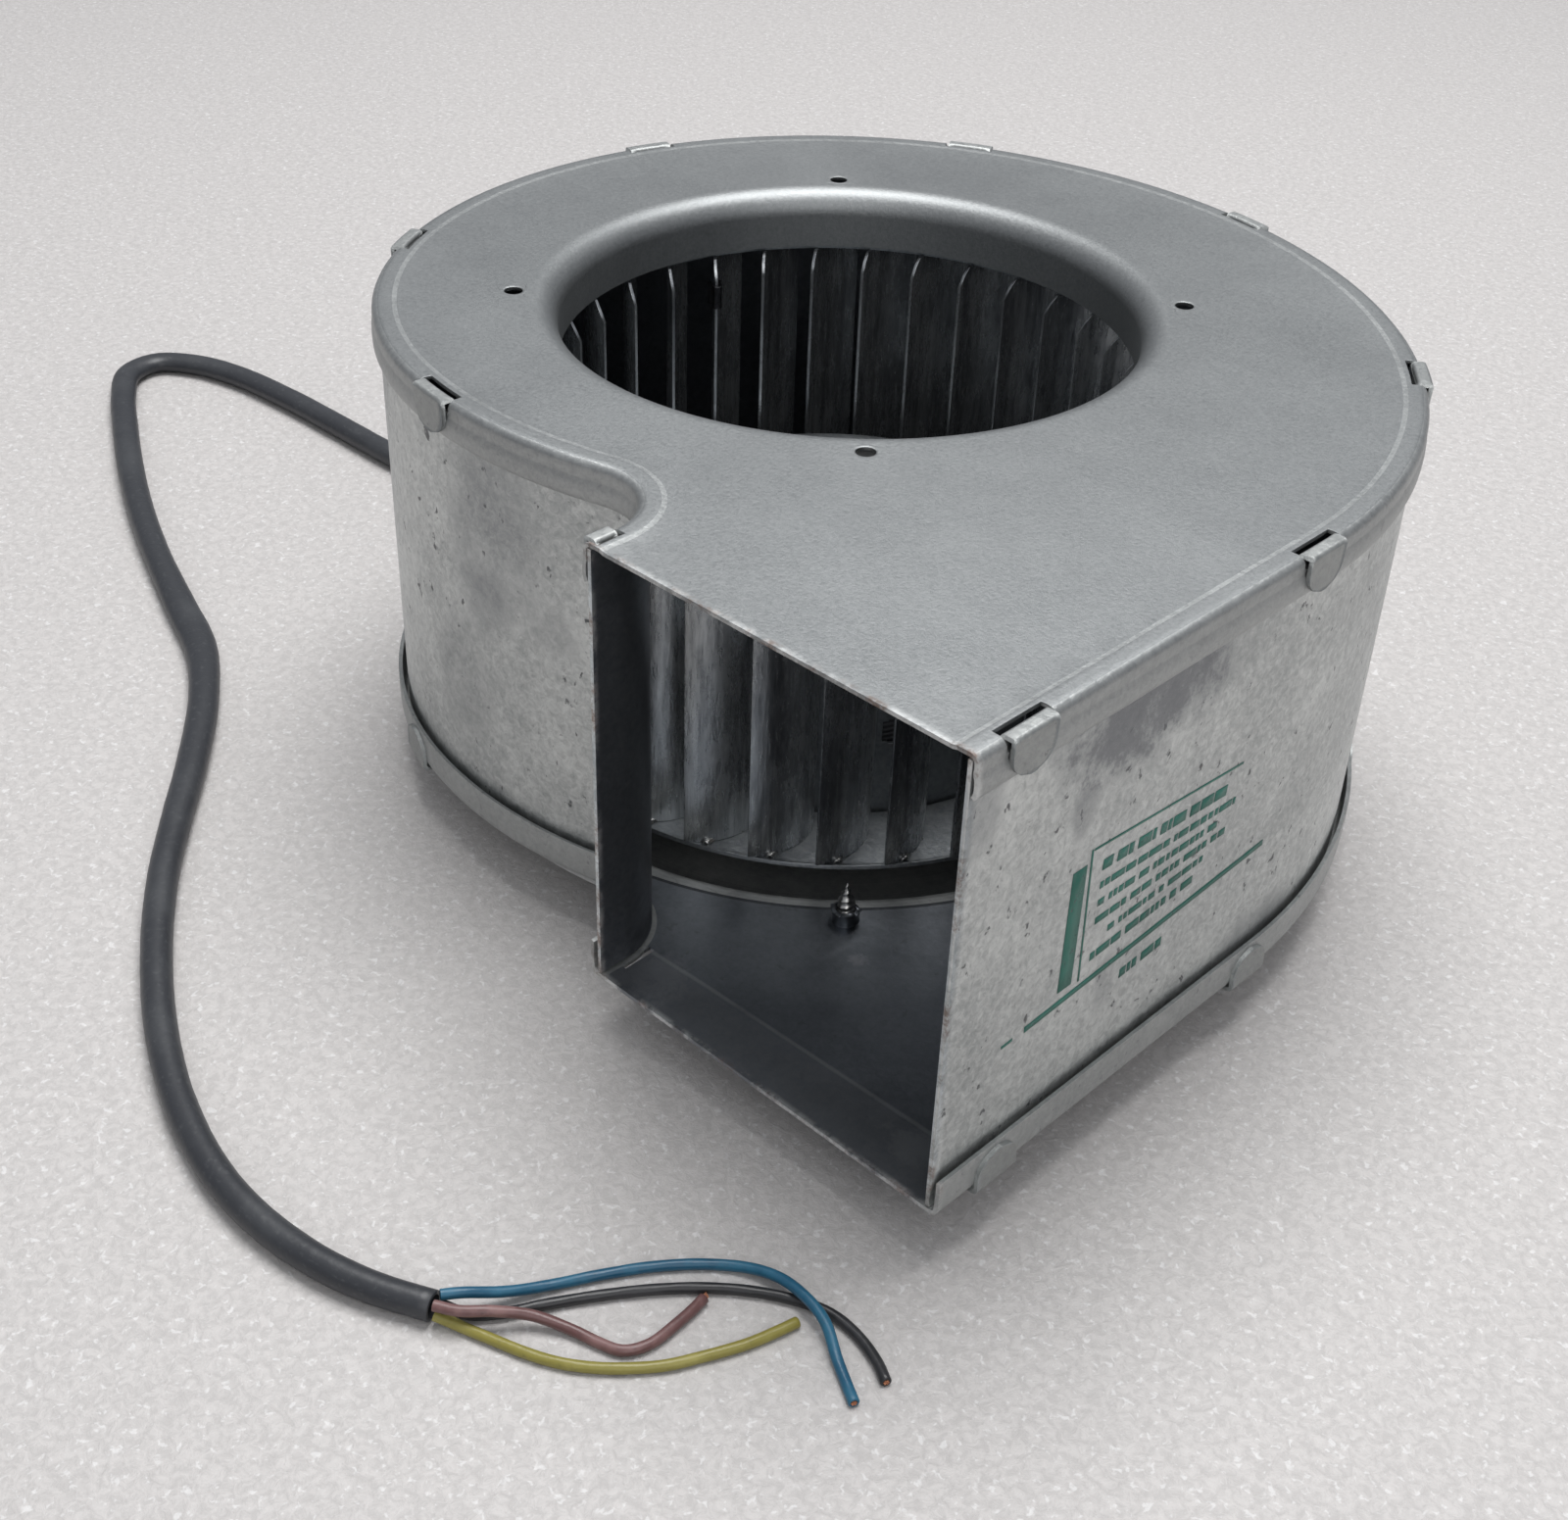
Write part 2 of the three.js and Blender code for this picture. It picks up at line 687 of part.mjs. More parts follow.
const coreRoutes = {
  core_blue: [
    [63.1, -144.3, 3.74],
    [64.7, -141.6, 3.4],
    [67.5, -136.8, 2],
    [70.3, -131, 1],
    [73.2, -125.5, 0.85],
    [76.8, -119.6, 0.85],
    [81, -114.2, 0.85],
    [85.8, -109.8, 0.95],
    [90.9, -107.7, 1.8],
    [96.9, -107.8, 2.9],
    [102.6, -109, 2.7],
    [107.4, -111.6, 1.3],
    [110.9, -113.4, 0.85],
    [113.6, -114.9, 0.85],
  ],
  core_black: [
    [63.1, -144.3, 1.76],
    [66.6, -142.2, 1],
    [69.6, -138.6, 0.85],
    [72.4, -133.6, 0.85],
    [75.6, -128.4, 0.85],
    [79.7, -122.5, 0.85],
    [84.1, -117.2, 0.85],
    [89.1, -112.5, 0.85],
    [94.7, -108.7, 0.85],
    [100.6, -106.3, 0.85],
    [106.2, -106.3, 0.85],
    [111.4, -107.8, 0.85],
    [114.3, -109.3, 0.85],
  ],
  core_brown: [
    [63.95, -146.1, 3.74],
    [66.9, -144.2, 3.6],
    [69.9, -140.7, 3.2],
    [73.3, -136.9, 2.2],
    [78.2, -134, 1.1],
    [82.6, -132.6, 0.85],
    [85.9, -131.1, 0.85],
    [87.5, -128, 0.85],
    [87.6, -123.5, 0.85],
    [87.3, -119.6, 0.85],
    [86.9, -117, 0.85],
  ],
  core_earth: [
    [63.95, -146.1, 1.76],
    [67.6, -144.3, 1],
    [73.3, -142.2, 0.85],
    [78.9, -140, 0.85],
    [83.6, -137.2, 0.85],
    [88.2, -133, 0.85],
    [91.8, -128.5, 0.85],
    [94.3, -123.7, 0.85],
    [96.6, -118.7, 0.85],
    [98.1, -113.9, 0.85],
    [98.9, -110.6, 0.85],
  ],
};

function tube(route, diameter, sides, steps) {
  const path = new THREE.CatmullRomCurve3(route.map((p) => new THREE.Vector3(...p)), false, 'centripetal');
  const rim = circle(diameter / 2, [0, 0], sides).map(([x, y]) => new THREE.Vector2(x, y));
  const section = new THREE.Shape(rim);
  return new THREE.ExtrudeGeometry(section, { steps, extrudePath: path, bevelEnabled: false });
}

// Rubber grommet with a waist that sits in the pan's wall.
function grommet() {
  const body = turned(
    [
      [3.0, -5.6],
      [3.7, -5.6],
      [3.7, -4.2],
      [3.25, -4.2],
      [3.25, 0.9],
      [3.7, 0.9],
      [3.7, 2.1],
      [3.0, 2.1],
    ],
    12,
  );
  body.rotateY(Math.PI / 2);
  body.translate(sleeve.wallX, sleeve.exitY, sleeve.exitZ);
  return body;
}

// ---- assembly ----

put('inlet_plate', inletPlate(), finish.zinc);
put('scroll_band', sideBand(), finish.zinc);
put('back_plate', backPlate(), finish.zinc);
put('motor_plate', motorPlate(), finish.zincDark);
plateScrewPlaces().forEach(([x, y], i) => {
  put(`plate_screw_${i + 1}`, selfTapper(), finish.bright, { at: [x, y, 0] });
});

put('stator_flange', statorFlange(), finish.cast);
flangeScrewPlaces().forEach(([x, y], i) => {
  put(`flange_screw_${i + 1}`, panHead(), finish.bright, { at: [x, y, 0] });
});
put('stator_core', statorStack(), finish.lamination);
put('insulator_lower', endInsulator(stator.lowZ - 0.9, stator.lowZ - gap), finish.nylon);
put('insulator_upper', endInsulator(stator.highZ + gap, stator.highZ + 0.9), finish.nylon);
put('main_coil_1', coil(rad(90), 24.6, 29.8, 3.6), finish.copper);
put('main_coil_2', coil(rad(270), 24.6, 29.8, 3.6), finish.copper);
put('start_coil_1', coil(rad(180), 19, 24.2, 1.9), finish.copper);
put('start_coil_2', coil(rad(0), 19, 24.2, 1.9), finish.copper);
put('thermal_cutout', new THREE.BoxGeometry(9, 4, 2.2), finish.nylon, { at: [0, 27, 39.4] });

for (const [place, low] of [['lower', bearing.lowZ], ['upper', bearing.highZ]]) {
  const high = low + bearing.width;
  put(`bearing_${place}_outer_ring`, ring(bearing.outer - 1.4, bearing.outer, low, high, 24), finish.bright);
  put(`bearing_${place}_ball_cage`, ballRing(low), finish.bright);
  put(`bearing_${place}_inner_ring`, ring(bearing.inner, bearing.inner + 1.3, low, high, 24), finish.bright);
}
put('shaft', disc(shaftRadius, 5.2, 41.2, [0, 0], 24), finish.bright);
put('shaft_circlip', ring(shaftRadius + gap, 5.1, 7.9, 8.6, 24), finish.zincDark);
put('preload_washer', ring(shaftRadius + gap, 4.9, 34.4, 36.1, 24), finish.zincDark);
put('rotor_cup', rotorCup(), finish.zincDark);
put('rotor_core', ring(stator.outer + 0.5, rotor.outer - 1.1, 13, 36, rotorSides), finish.lamination);
put('rotor_ring_lower', ring(36, 42.6, 11, 12.7, rotorSides), finish.cast);
put('rotor_ring_upper', ring(36, 41.4, 36.3, 38, rotorSides), finish.cast);

put('impeller_disc', wheelDisc(), finish.zincDark);
put('impeller_blades', bladeCage(), finish.zincDark);
const frontRingZ = blade.highZ + gap;
put(
  'impeller_front_ring',
  ring(frontRing.inner, frontRing.outer, frontRingZ, frontRingZ + 0.8, 36),
  finish.zincDark,
);
rivetPlaces().forEach(([x, y], i) => {
  put(`disc_rivet_${i + 1}`, rivet(), finish.bright, { at: [x, y, 0] });
});
const clippedTip = wheel.firstTip + (wheel.clipped * 2 * Math.PI) / wheel.blades;
const clipPlace = polar(wheel.inner, clippedTip + blade.lag);
put('balance_clip', balanceClip(), finish.bright, { at: [...clipPlace, 0], turn: clippedTip - rad(5) });

put('cable_grommet', grommet(), finish.rubber);
put('cable_sleeve', tube(sleeveRoute, sleeve.diameter, 8, 44), finish.sleeving);
put('core_blue', tube(coreRoutes.core_blue, coreDiameter, 8, 20), finish.blue);
put('core_black', tube(coreRoutes.core_black, coreDiameter, 8, 20), finish.black);
put('core_brown', tube(coreRoutes.core_brown, coreDiameter, 8, 14), finish.brown);
put('core_earth', tube(coreRoutes.core_earth, coreDiameter, 8, 15), finish.earth);

export default group;
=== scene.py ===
import bpy
import bmesh
import json
import random
from math import atan2, ceil, cos, hypot, pi, radians, sin, sqrt
from mathutils import Matrix, Vector
from mathutils.geometry import delaunay_2d_cdt


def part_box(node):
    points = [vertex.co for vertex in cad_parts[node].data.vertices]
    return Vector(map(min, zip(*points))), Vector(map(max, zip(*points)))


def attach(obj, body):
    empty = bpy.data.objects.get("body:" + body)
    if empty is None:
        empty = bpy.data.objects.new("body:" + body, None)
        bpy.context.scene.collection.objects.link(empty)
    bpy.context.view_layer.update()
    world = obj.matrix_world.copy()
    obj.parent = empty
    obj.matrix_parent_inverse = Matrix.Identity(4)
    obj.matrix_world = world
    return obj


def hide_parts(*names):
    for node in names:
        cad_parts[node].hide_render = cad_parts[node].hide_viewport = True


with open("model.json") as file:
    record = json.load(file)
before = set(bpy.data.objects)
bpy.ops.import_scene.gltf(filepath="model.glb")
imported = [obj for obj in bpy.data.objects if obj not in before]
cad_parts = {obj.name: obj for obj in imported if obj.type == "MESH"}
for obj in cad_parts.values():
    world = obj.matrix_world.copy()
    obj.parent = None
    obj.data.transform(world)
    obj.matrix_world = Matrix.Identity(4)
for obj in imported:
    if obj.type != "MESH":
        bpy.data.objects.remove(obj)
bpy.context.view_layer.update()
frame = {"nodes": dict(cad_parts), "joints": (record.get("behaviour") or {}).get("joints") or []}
spin = frame["joints"][0]
fanX, fanY = (1000 * v for v in spin["pos_m"][:2])  # the fan axis in the row frame, mm
print("frame loaded:", len(frame["nodes"]), "CAD nodes, fan axis at", round(fanX, 2), round(fanY, 2))

# Shapes are drawn in millimetres about the fan axis; row() takes them into the shared frame in metres.


def row(point):
    return Vector((point[0] + fanX, point[1] + fanY, point[2])) / 1000


def rowBox(node):
    low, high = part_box(node)
    shift = Vector((fanX, fanY, 0))
    return low * 1000 - shift, high * 1000 - shift


def polar(radius, angle, centre=(0, 0)):
    return centre[0] + radius * cos(angle), centre[1] + radius * sin(angle)


def smooth(low, high, value):
    t = min(1, max(0, (value - low) / (high - low)))
    return t * t * (3 - 2 * t)


# The camera, in metres: where it stands, and the directions to its right and upward.

camera = {
    "lens": 48.85,
    "sensor": 36,
    "place": (0.218646, -0.255067, 0.233177),
    "right": (0.7131, 0.7003, 0.0302),
    "up": (-0.4205, 0.3931, 0.8176),
}


def makeCamera():
    data = bpy.data.cameras.new("camera")
    data.lens = camera["lens"]
    data.sensor_fit = "HORIZONTAL"
    data.sensor_width = camera["sensor"]
    eye = bpy.data.objects.new("camera", data)
    bpy.context.scene.collection.objects.link(eye)
    right = Vector(camera["right"]).normalized()
    up = Vector(camera["up"])
    up = (up - right * up.dot(right)).normalized()
    turn = Matrix((right, up, right.cross(up))).transposed().to_4x4()
    eye.matrix_world = Matrix.Translation(camera["place"]) @ turn
    bpy.context.scene.camera = eye


makeCamera()

# Shader maths, written as Python expressions.


class Wire:
    # a socket that takes + - * and ** as a number does; colours and vectors keep their channels
    def __init__(self, paint, socket):
        self.paint = paint
        self.socket = socket

    def reckon(self, operation, first, second):
        kinds = [w.socket.type for w in (first, second) if isinstance(w, Wire)]
        if "RGBA" in kinds:
            return self.paint.mix(1, first, second, operation)
        if "VECTOR" in kinds:
            return self.paint.add("ShaderNodeVectorMath", {"operation": operation}, {0: first, 1: second})
        return self.paint.add("ShaderNodeMath", {"operation": operation}, {0: first, 1: second})

    def __add__(self, other):
        return self.reckon("ADD", self, other)

    def __radd__(self, other):
        return self.reckon("ADD", other, self)

    def __sub__(self, other):
        return self.reckon("SUBTRACT", self, other)

    def __rsub__(self, other):
        return self.reckon("SUBTRACT", other, self)

    def __mul__(self, other):
        return self.reckon("MULTIPLY", self, other)

    def __rmul__(self, other):
        return self.reckon("MULTIPLY", other, self)

    def __pow__(self, other):
        return self.reckon("POWER", self, other)


class Paint:
    def __init__(self, name):
        self.material = bpy.data.materials.new(name)
        self.material.use_nodes = True
        self.tree = self.material.node_tree
        self.tree.nodes.clear()
        self.place = self.add("ShaderNodeTexCoord", {}, {}, "Object")

    def add(self, kind, settings=None, sockets=None, take=0):
        node = self.tree.nodes.new(kind)
        for key, value in (settings or {}).items():
            if key == "stops":
                ramp = node.color_ramp
                while len(ramp.elements) > 1:
                    ramp.elements.remove(ramp.elements[-1])
                ramp.elements[0].position, ramp.elements[0].color = value[0]
                for position, colour in value[1:]:
                    ramp.elements.new(position).color = colour
            else:
                setattr(node, key, value)
        for key, value in (sockets or {}).items():
            if isinstance(value, Wire):
                self.tree.links.new(value.socket, node.inputs[key])
            else:
                node.inputs[key].default_value = value
        return Wire(self, node.outputs[take])

    def mix(self, factor, first, second, blend="MIX"):
        colours = [c if isinstance(c, Wire) else (*c[:3], 1) for c in (first, second)]
        settings = {"data_type": "RGBA", "blend_type": blend}
        return self.add("ShaderNodeMix", settings, {0: factor, 6: colours[0], 7: colours[1]}, 2)

    def between(self, value, low, high):  # 0 below low, 1 above high, smooth between
        settings = {"interpolation_type": "SMOOTHSTEP"}
        return self.add("ShaderNodeMapRange", settings, {0: value, 1: low, 2: high, 3: 0.0, 4: 1.0})

    def noise(self, scale, detail=3, rough=0.55, stretch=(1, 1, 1), warp=0.0, seat=None):
        sockets = {"Vector": (seat or self.place) * stretch, "Scale": scale, "Detail": detail}
        sockets.update({"Roughness": rough, "Distortion": warp})
        return self.add("ShaderNodeTexNoise", {}, sockets)

    def cells(self, scale):  # one grey value for each crystal of the zinc
        colour = self.add("ShaderNodeTexVoronoi", {}, {"Vector": self.place, "Scale": scale}, "Color")
        return self.split(colour)[0]

    def spot(self, point, radius, squash=(1, 1, 1)):  # 1 at the point, falling to 0 at the radius
        away = (self.place - tuple(point)) * squash
        distance = self.add("ShaderNodeVectorMath", {"operation": "LENGTH"}, {0: away}, "Value")
        return 1 - self.between(distance, 0.15 * radius, radius)

    def split(self, vector=None):
        xyz = self.add("ShaderNodeSeparateXYZ", {}, {0: vector or self.place})
        return [Wire(self, xyz.socket.node.outputs[i]) for i in range(3)]

    def bump(self, height, strength, distance, under=None):
        sockets = {"Height": height, "Strength": strength, "Distance": distance}
        if under:
            sockets["Normal"] = under
        return self.add("ShaderNodeBump", {}, sockets)

    def done(self, sockets):
        shader = self.add("ShaderNodeBsdfPrincipled", {}, sockets)
        end = self.tree.nodes.new("ShaderNodeOutputMaterial")
        self.tree.links.new(shader.socket, end.inputs[0])
        return self.material


# Floor and light, in metres and watts.

stageLook = {
    "floorColour": (0.535, 0.513, 0.5),
    "glintColour": (0.85, 0.85, 0.85),
    "floorSize": 6.0,
    "skyColour": (0.5, 0.515, 0.54),
    "horizonColour": (0.2, 0.21, 0.235),
    "worldStrength": 1.0,
    "lamps": {  # power, size, place
        "overhead": (17.0, 0.9, (-0.12, 0.25, 1.25)),
        "fill": (4.5, 1.2, (1.0, -0.7, 0.8)),
    },
}


def paintFloor():
    paint = Paint("floor")
    grain = paint.noise(620, 4, 0.7, warp=0.6)
    glint = paint.between(paint.noise(700, 2, 0.6, warp=0.4), 0.58, 0.7)
    base = stageLook["floorColour"]
    dull = tuple(0.84 * c for c in base)
    colour = paint.mix(paint.between(grain, 0.35, 0.65), dull, base)
    colour = paint.mix(glint * 0.35, colour, stageLook["glintColour"])
    bump = paint.bump(grain, 0.4, 0.0007)
    return paint.done({"Base Color": colour, "Roughness": 0.55, "Normal": bump})


def makeStage():
    half = stageLook["floorSize"] / 2
    bm = bmesh.new()
    bmesh.ops.create_grid(bm, x_segments=8, y_segments=8, size=half)
    data = bpy.data.meshes.new("floor")
    bm.to_mesh(data)
    bm.free()
    floor = bpy.data.objects.new("floor", data)
    data.materials.append(paintFloor())
    bpy.context.scene.collection.objects.link(floor)

    world = bpy.data.worlds.new("studio")
    world.use_nodes = True
    nodes = world.node_tree.nodes
    background = nodes["Background"]
    background.inputs[1].default_value = stageLook["worldStrength"]
    aim = nodes.new("ShaderNodeTexCoord")
    part = nodes.new("ShaderNodeSeparateXYZ")
    sky = nodes.new("ShaderNodeValToRGB")
    stops = ((0.05, stageLook["horizonColour"]), (0.75, stageLook["skyColour"]))
    for stop, (position, colour) in zip(sky.color_ramp.elements, stops):
        stop.position = position
        stop.color = (*colour, 1)
    for start, end in (
        (aim.outputs["Generated"], part.inputs[0]),
        (part.outputs[2], sky.inputs[0]),
        (sky.outputs[0], background.inputs[0]),
    ):
        world.node_tree.links.new(start, end)
    bpy.context.scene.world = world

    for name, (power, size, place) in stageLook["lamps"].items():
        lamp = bpy.data.lights.new(name, "AREA")
        lamp.shape = "DISK"
        lamp.size = size
        lamp.energy = power
        holder = bpy.data.objects.new(name, lamp)
        bpy.context.scene.collection.objects.link(holder)
        holder.location = place
        holder.rotation_euler = (-Vector(place)).to_track_quat("-Z", "Y").to_euler()
    bpy.context.scene.view_settings.view_transform = "Standard"


makeStage()
print("stage made")

# Mesh helpers. Thin sheet is drawn as its middle surface and given its thickness by newPiece.

sharpAngle = 38  # edges sharper than this many degrees are drawn crisp
onAxis = 0.01  # a turned profile closes where its radius is this small


def newPiece(name, bm, body, materials, stands=(), thickness=0, bevel=0.0, sharp=sharpAngle):
    for vertex in bm.verts:
        vertex.co = row(vertex.co)
    bmesh.ops.recalc_face_normals(bm, faces=bm.faces)
    data = bpy.data.meshes.new(name)
    bm.to_mesh(data)
    bm.free()
    data.shade_smooth()
    data.set_sharp_from_angle(angle=radians(sharp))
    for material in materials if isinstance(materials, list) else [materials]:
        data.materials.append(material)
    piece = bpy.data.objects.new(name, data)
    bpy.context.scene.collection.objects.link(piece)
    if thickness:
        skin = piece.modifiers.new("thickness", "SOLIDIFY")
        skin.thickness = thickness / 1000
        skin.offset = 0
        skin.use_even_offset = True
    if bevel:
        edge = piece.modifiers.new("edge", "BEVEL")
        edge.width = bevel / 1000
        edge.segments = 2
        edge.limit_method = "ANGLE"
        edge.angle_limit = radians(50)
        piece.modifiers.new("normals", "WEIGHTED_NORMAL").keep_sharp = True
    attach(piece, body)
    if stands:
        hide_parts(*stands)
    return piece


def addGrid(bm, rows, closeAcross=False, skip=None):  # rows of points; faces between neighbours
    made = [[bm.verts.new(point) for point in line] for line in rows]
    count = len(made[0])
    for i in range(len(made) - 1):
        for j in range(count if closeAcross else count - 1):
            k = (j + 1) % count
            if skip and skip(i, j):
                continue
            bm.faces.new((made[i][j], made[i][k], made[i + 1][k], made[i + 1][j]))
    return made


def ringPoints(radius, count, centre=(0, 0)):
    return [polar(radius, 2 * pi * i / count, centre) for i in range(count)]


def levelRing(radius, height, count, centre=(0, 0)):
    return [(*point, height) for point in ringPoints(radius, count, centre)]


def addTurned(bm, profile, count, centre=(0, 0)):  # profile of (radius, height)
    made = addGrid(bm, [levelRing(radius, height, count, centre) for radius, height in profile], True)
    for line, (radius, height) in ((made[0], profile[0]), (made[-1], profile[-1])):
        if radius <= onAxis:
            bmesh.ops.pointmerge(bm, verts=line, merge_co=(*centre, height))


def rounded(profile, radius, steps=4):  # the inner corners of a profile as small arcs
    out = [profile[0]]
    for before, corner, after in zip(profile, profile[1:], profile[2:]):
        here, a, b = Vector(corner), Vector(before), Vector(after)
        reach = min(radius, 0.45 * (a - here).length, 0.45 * (b - here).length)
        start = here + (a - here).normalized() * reach
        stop = here + (b - here).normalized() * reach
        for k in range(steps + 1):
            t = k / steps
            out.append(tuple((1 - t) ** 2 * start + 2 * t * (1 - t) * here + t * t * stop))
    return out + [profile[-1]]


def inside(point, loop):
    x, y = point
    hit = False
    for (x0, y0), (x1, y1) in zip(loop, loop[1:] + loop[:1]):
        if (y0 > y) != (y1 > y) and x < (x1 - x0) * (y - y0) / (y1 - y0) + x0:
            hit = not hit
    return hit


def addFlat(bm, outer, holes, height, spacing=5.0):  # flat sheet with holes; inner points carry its relief
    points = [Vector(p) for p in outer]
    edges = [(i, (i + 1) % len(outer)) for i in range(len(outer))]
    for hole in holes:
        first = len(points)
        points += [Vector(p) for p in hole]
        edges += [(first + i, first + (i + 1) % len(hole)) for i in range(len(hole))]

    def onSheet(point):
        return inside(point, outer) and not any(inside(point, hole) for hole in holes)

    rim = list(points)
    xs = [p.x for p in rim]
    ys = [p.y for p in rim]
    nearest = 0.55 * spacing
    y, odd = min(ys) + spacing / 2, 0
    while y < max(ys):  # rows of inner points, every other one moved sideways
        x = min(xs) + spacing * (0.25 + 0.5 * (odd % 2))
        while x < max(xs):
            p = Vector((x, y))
            if onSheet(p) and all((p - q).length_squared > nearest**2 for q in rim):
                points.append(p)
            x += spacing
        y += spacing * 0.87
        odd += 1
    verts, _, faces, _, _, _ = delaunay_2d_cdt(points, edges, [], 0, 1e-5)
    made = [bm.verts.new((v.x, v.y, height(v.x, v.y))) for v in verts]
    for face in faces:
        if onSheet(sum((verts[i] for i in face), Vector((0, 0))) / len(face)):
            bm.faces.new([made[i] for i in face])


def placesRound(circle, start, count=4):  # even places round a circle, the first at start degrees
    return [polar(circle, radians(start + 360 * i / count)) for i in range(count)]


def curvePoints(route, spacing, fine=0.4):
    # smooth line through a route: evenly spaced points with their places along it, and its length
    pts = [Vector(p) for p in route]
    pts = [2 * pts[0] - pts[1], *pts, 2 * pts[-1] - pts[-2]]
    line, places = [], []
    for k in range(1, len(pts) - 2):
        p = pts[k - 1 : k + 3]
        t = [0.0]
        for a, b in zip(p, p[1:]):
            t.append(t[-1] + max((b - a).length, 1e-6) ** 0.5)
        count = max(4, ceil((p[2] - p[1]).length / fine))
        for i in range(count):
            u = t[1] + (t[2] - t[1]) * i / count
            a1 = p[0].lerp(p[1], (u - t[0]) / (t[1] - t[0]))
            a2 = p[1].lerp(p[2], (u - t[1]) / (t[2] - t[1]))
            a3 = p[2].lerp(p[3], (u - t[2]) / (t[3] - t[2]))
            b1 = a1.lerp(a2, (u - t[0]) / (t[2] - t[0]))
            b2 = a2.lerp(a3, (u - t[1]) / (t[3] - t[1]))
            line.append(b1.lerp(b2, (u - t[1]) / (t[2] - t[1])))
            places.append(k - 1 + i / count)
    line.append(pts[-2])
    places.append(len(route) - 1)
    run = [0.0]
    for a, b in zip(line, line[1:]):
        run.append(run[-1] + (b - a).length)
    total = run[-1]
    steps = max(2, round(total / spacing))
    out, k = [], 0
    for i in range(steps + 1):
        s = total * i / steps
        while k < len(run) - 2 and run[k + 1] < s:
            k += 1
        t = (s - run[k]) / max(run[k + 1] - run[k], 1e-9)
        out.append((line[k].lerp(line[k + 1], t), places[k] + (places[k + 1] - places[k]) * t))
    return out, total


def along(table, place):  # value between the entries of a table of (place, value, ...)
    for a, b in zip(table, table[1:]):
        if place <= b[0]:
            t = smooth(a[0], b[0], place)
            return [x + (y - x) * t for x, y in zip(a[1:], b[1:])]
    return list(table[-1][1:])


# Finishes of the lead: black sleeve, coloured cores and bare copper.


def paintSleeve():
    paint = Paint("pvcSleeve")
    dust = paint.between(paint.noise(60, 4, 0.6), 0.45, 0.75)
    scuff = paint.between(paint.noise(900, 2, 0.5, (1, 1, 2.5)), 0.55, 0.8)
    colour = paint.mix(dust, (0.026, 0.028, 0.033), (0.042, 0.045, 0.05))
    colour = paint.mix(scuff * 0.5, colour, (0.075, 0.078, 0.082))
    rough = dust * 0.12 + 0.4
    bump = paint.bump(paint.noise(420, 3, 0.6), 0.22, 0.0004)
    return paint.done({"Base Color": colour, "Roughness": rough, "Normal": bump})


def paintCoreSkin(name, colour, wornColour):
    paint = Paint(name)
    worn = paint.between(paint.noise(160, 4, 0.65), 0.42, 0.68)
    grime = paint.between(paint.noise(700, 3, 0.6), 0.58, 0.8)
    shade = paint.mix(worn, colour, wornColour)
    shade = paint.mix(grime * 0.35, shade, (0.03, 0.03, 0.03))
    bump = paint.bump(paint.noise(1100, 2, 0.5), 0.2, 0.0002)
    return paint.done({"Base Color": shade, "Roughness": worn * 0.14 + 0.34, "Normal": bump})


def paintCopper():
    paint = Paint("bareCopper")
    tarnish = paint.between(paint.noise(900, 3, 0.6), 0.4, 0.7)
    colour = paint.mix(tarnish, (0.72, 0.33, 0.2), (0.36, 0.15, 0.08))
    return paint.done({"Base Color": colour, "Metallic": 0.9, "Roughness": tarnish * 0.25 + 0.3})


# The lead, in millimetres about the fan axis. The routes are points on the lines of its sleeve and cores.

sleeve = {
    "diameter": 5.4,
    "sides": 28,
    "spacing": 1.6,
    "wobble": 0.03,
    "bore": 0.76,  # of the open end, as a share of the outside
    "boreDepth": 9,
    # half width and half height, by number of the route's point
    "shape": [
        (0, 2.7, 2.7), (4, 2.8, 2.6), (9, 3.0, 2.35), (11, 3.15, 2.2), (13, 3.0, 2.35), (17, 2.9, 2.4),
        (18.6, 3.35, 2.05), (20, 2.95, 2.35), (24, 2.65, 2.45), (28, 2.45, 2.35), (31, 2.3, 2.2),
    ],
    "route": [
        (-47, 6, 4.7), (-58, 6, 4.7), (-69, 6, 4.65), (-82, 6, 3.9), (-96, 5.6, 3.0), (-120, 4.8, 2.75),
        (-147, 4, 2.75), (-168, 4, 2.75), (-186, 3.7, 2.75), (-205, 1.9, 2.75), (-218, -2.2, 2.75),
        (-225.3, -8.5, 2.75), (-224, -17, 2.75), (-213, -25.5, 2.75), (-200, -33, 2.75), (-179.5, -44, 2.75),
        (-159.6, -53.5, 2.75), (-140.2, -61.5, 2.75), (-120.6, -68.6, 2.75), (-103, -75, 2.75),
        (-86.5, -85, 2.75), (-69.5, -98.6, 2.75), (-57.1, -109.6, 2.75), (-44.2, -120.5, 2.75),
        (-29.2, -131.2, 2.75), (-11.8, -141.4, 2.75), (4.7, -148.6, 2.75), (20, -152.7, 2.75),
        (32.6, -153.7, 2.75), (44.6, -152.4, 2.75), (54.2, -149.6, 2.75), (62.9, -145.5, 2.75),
    ],
}

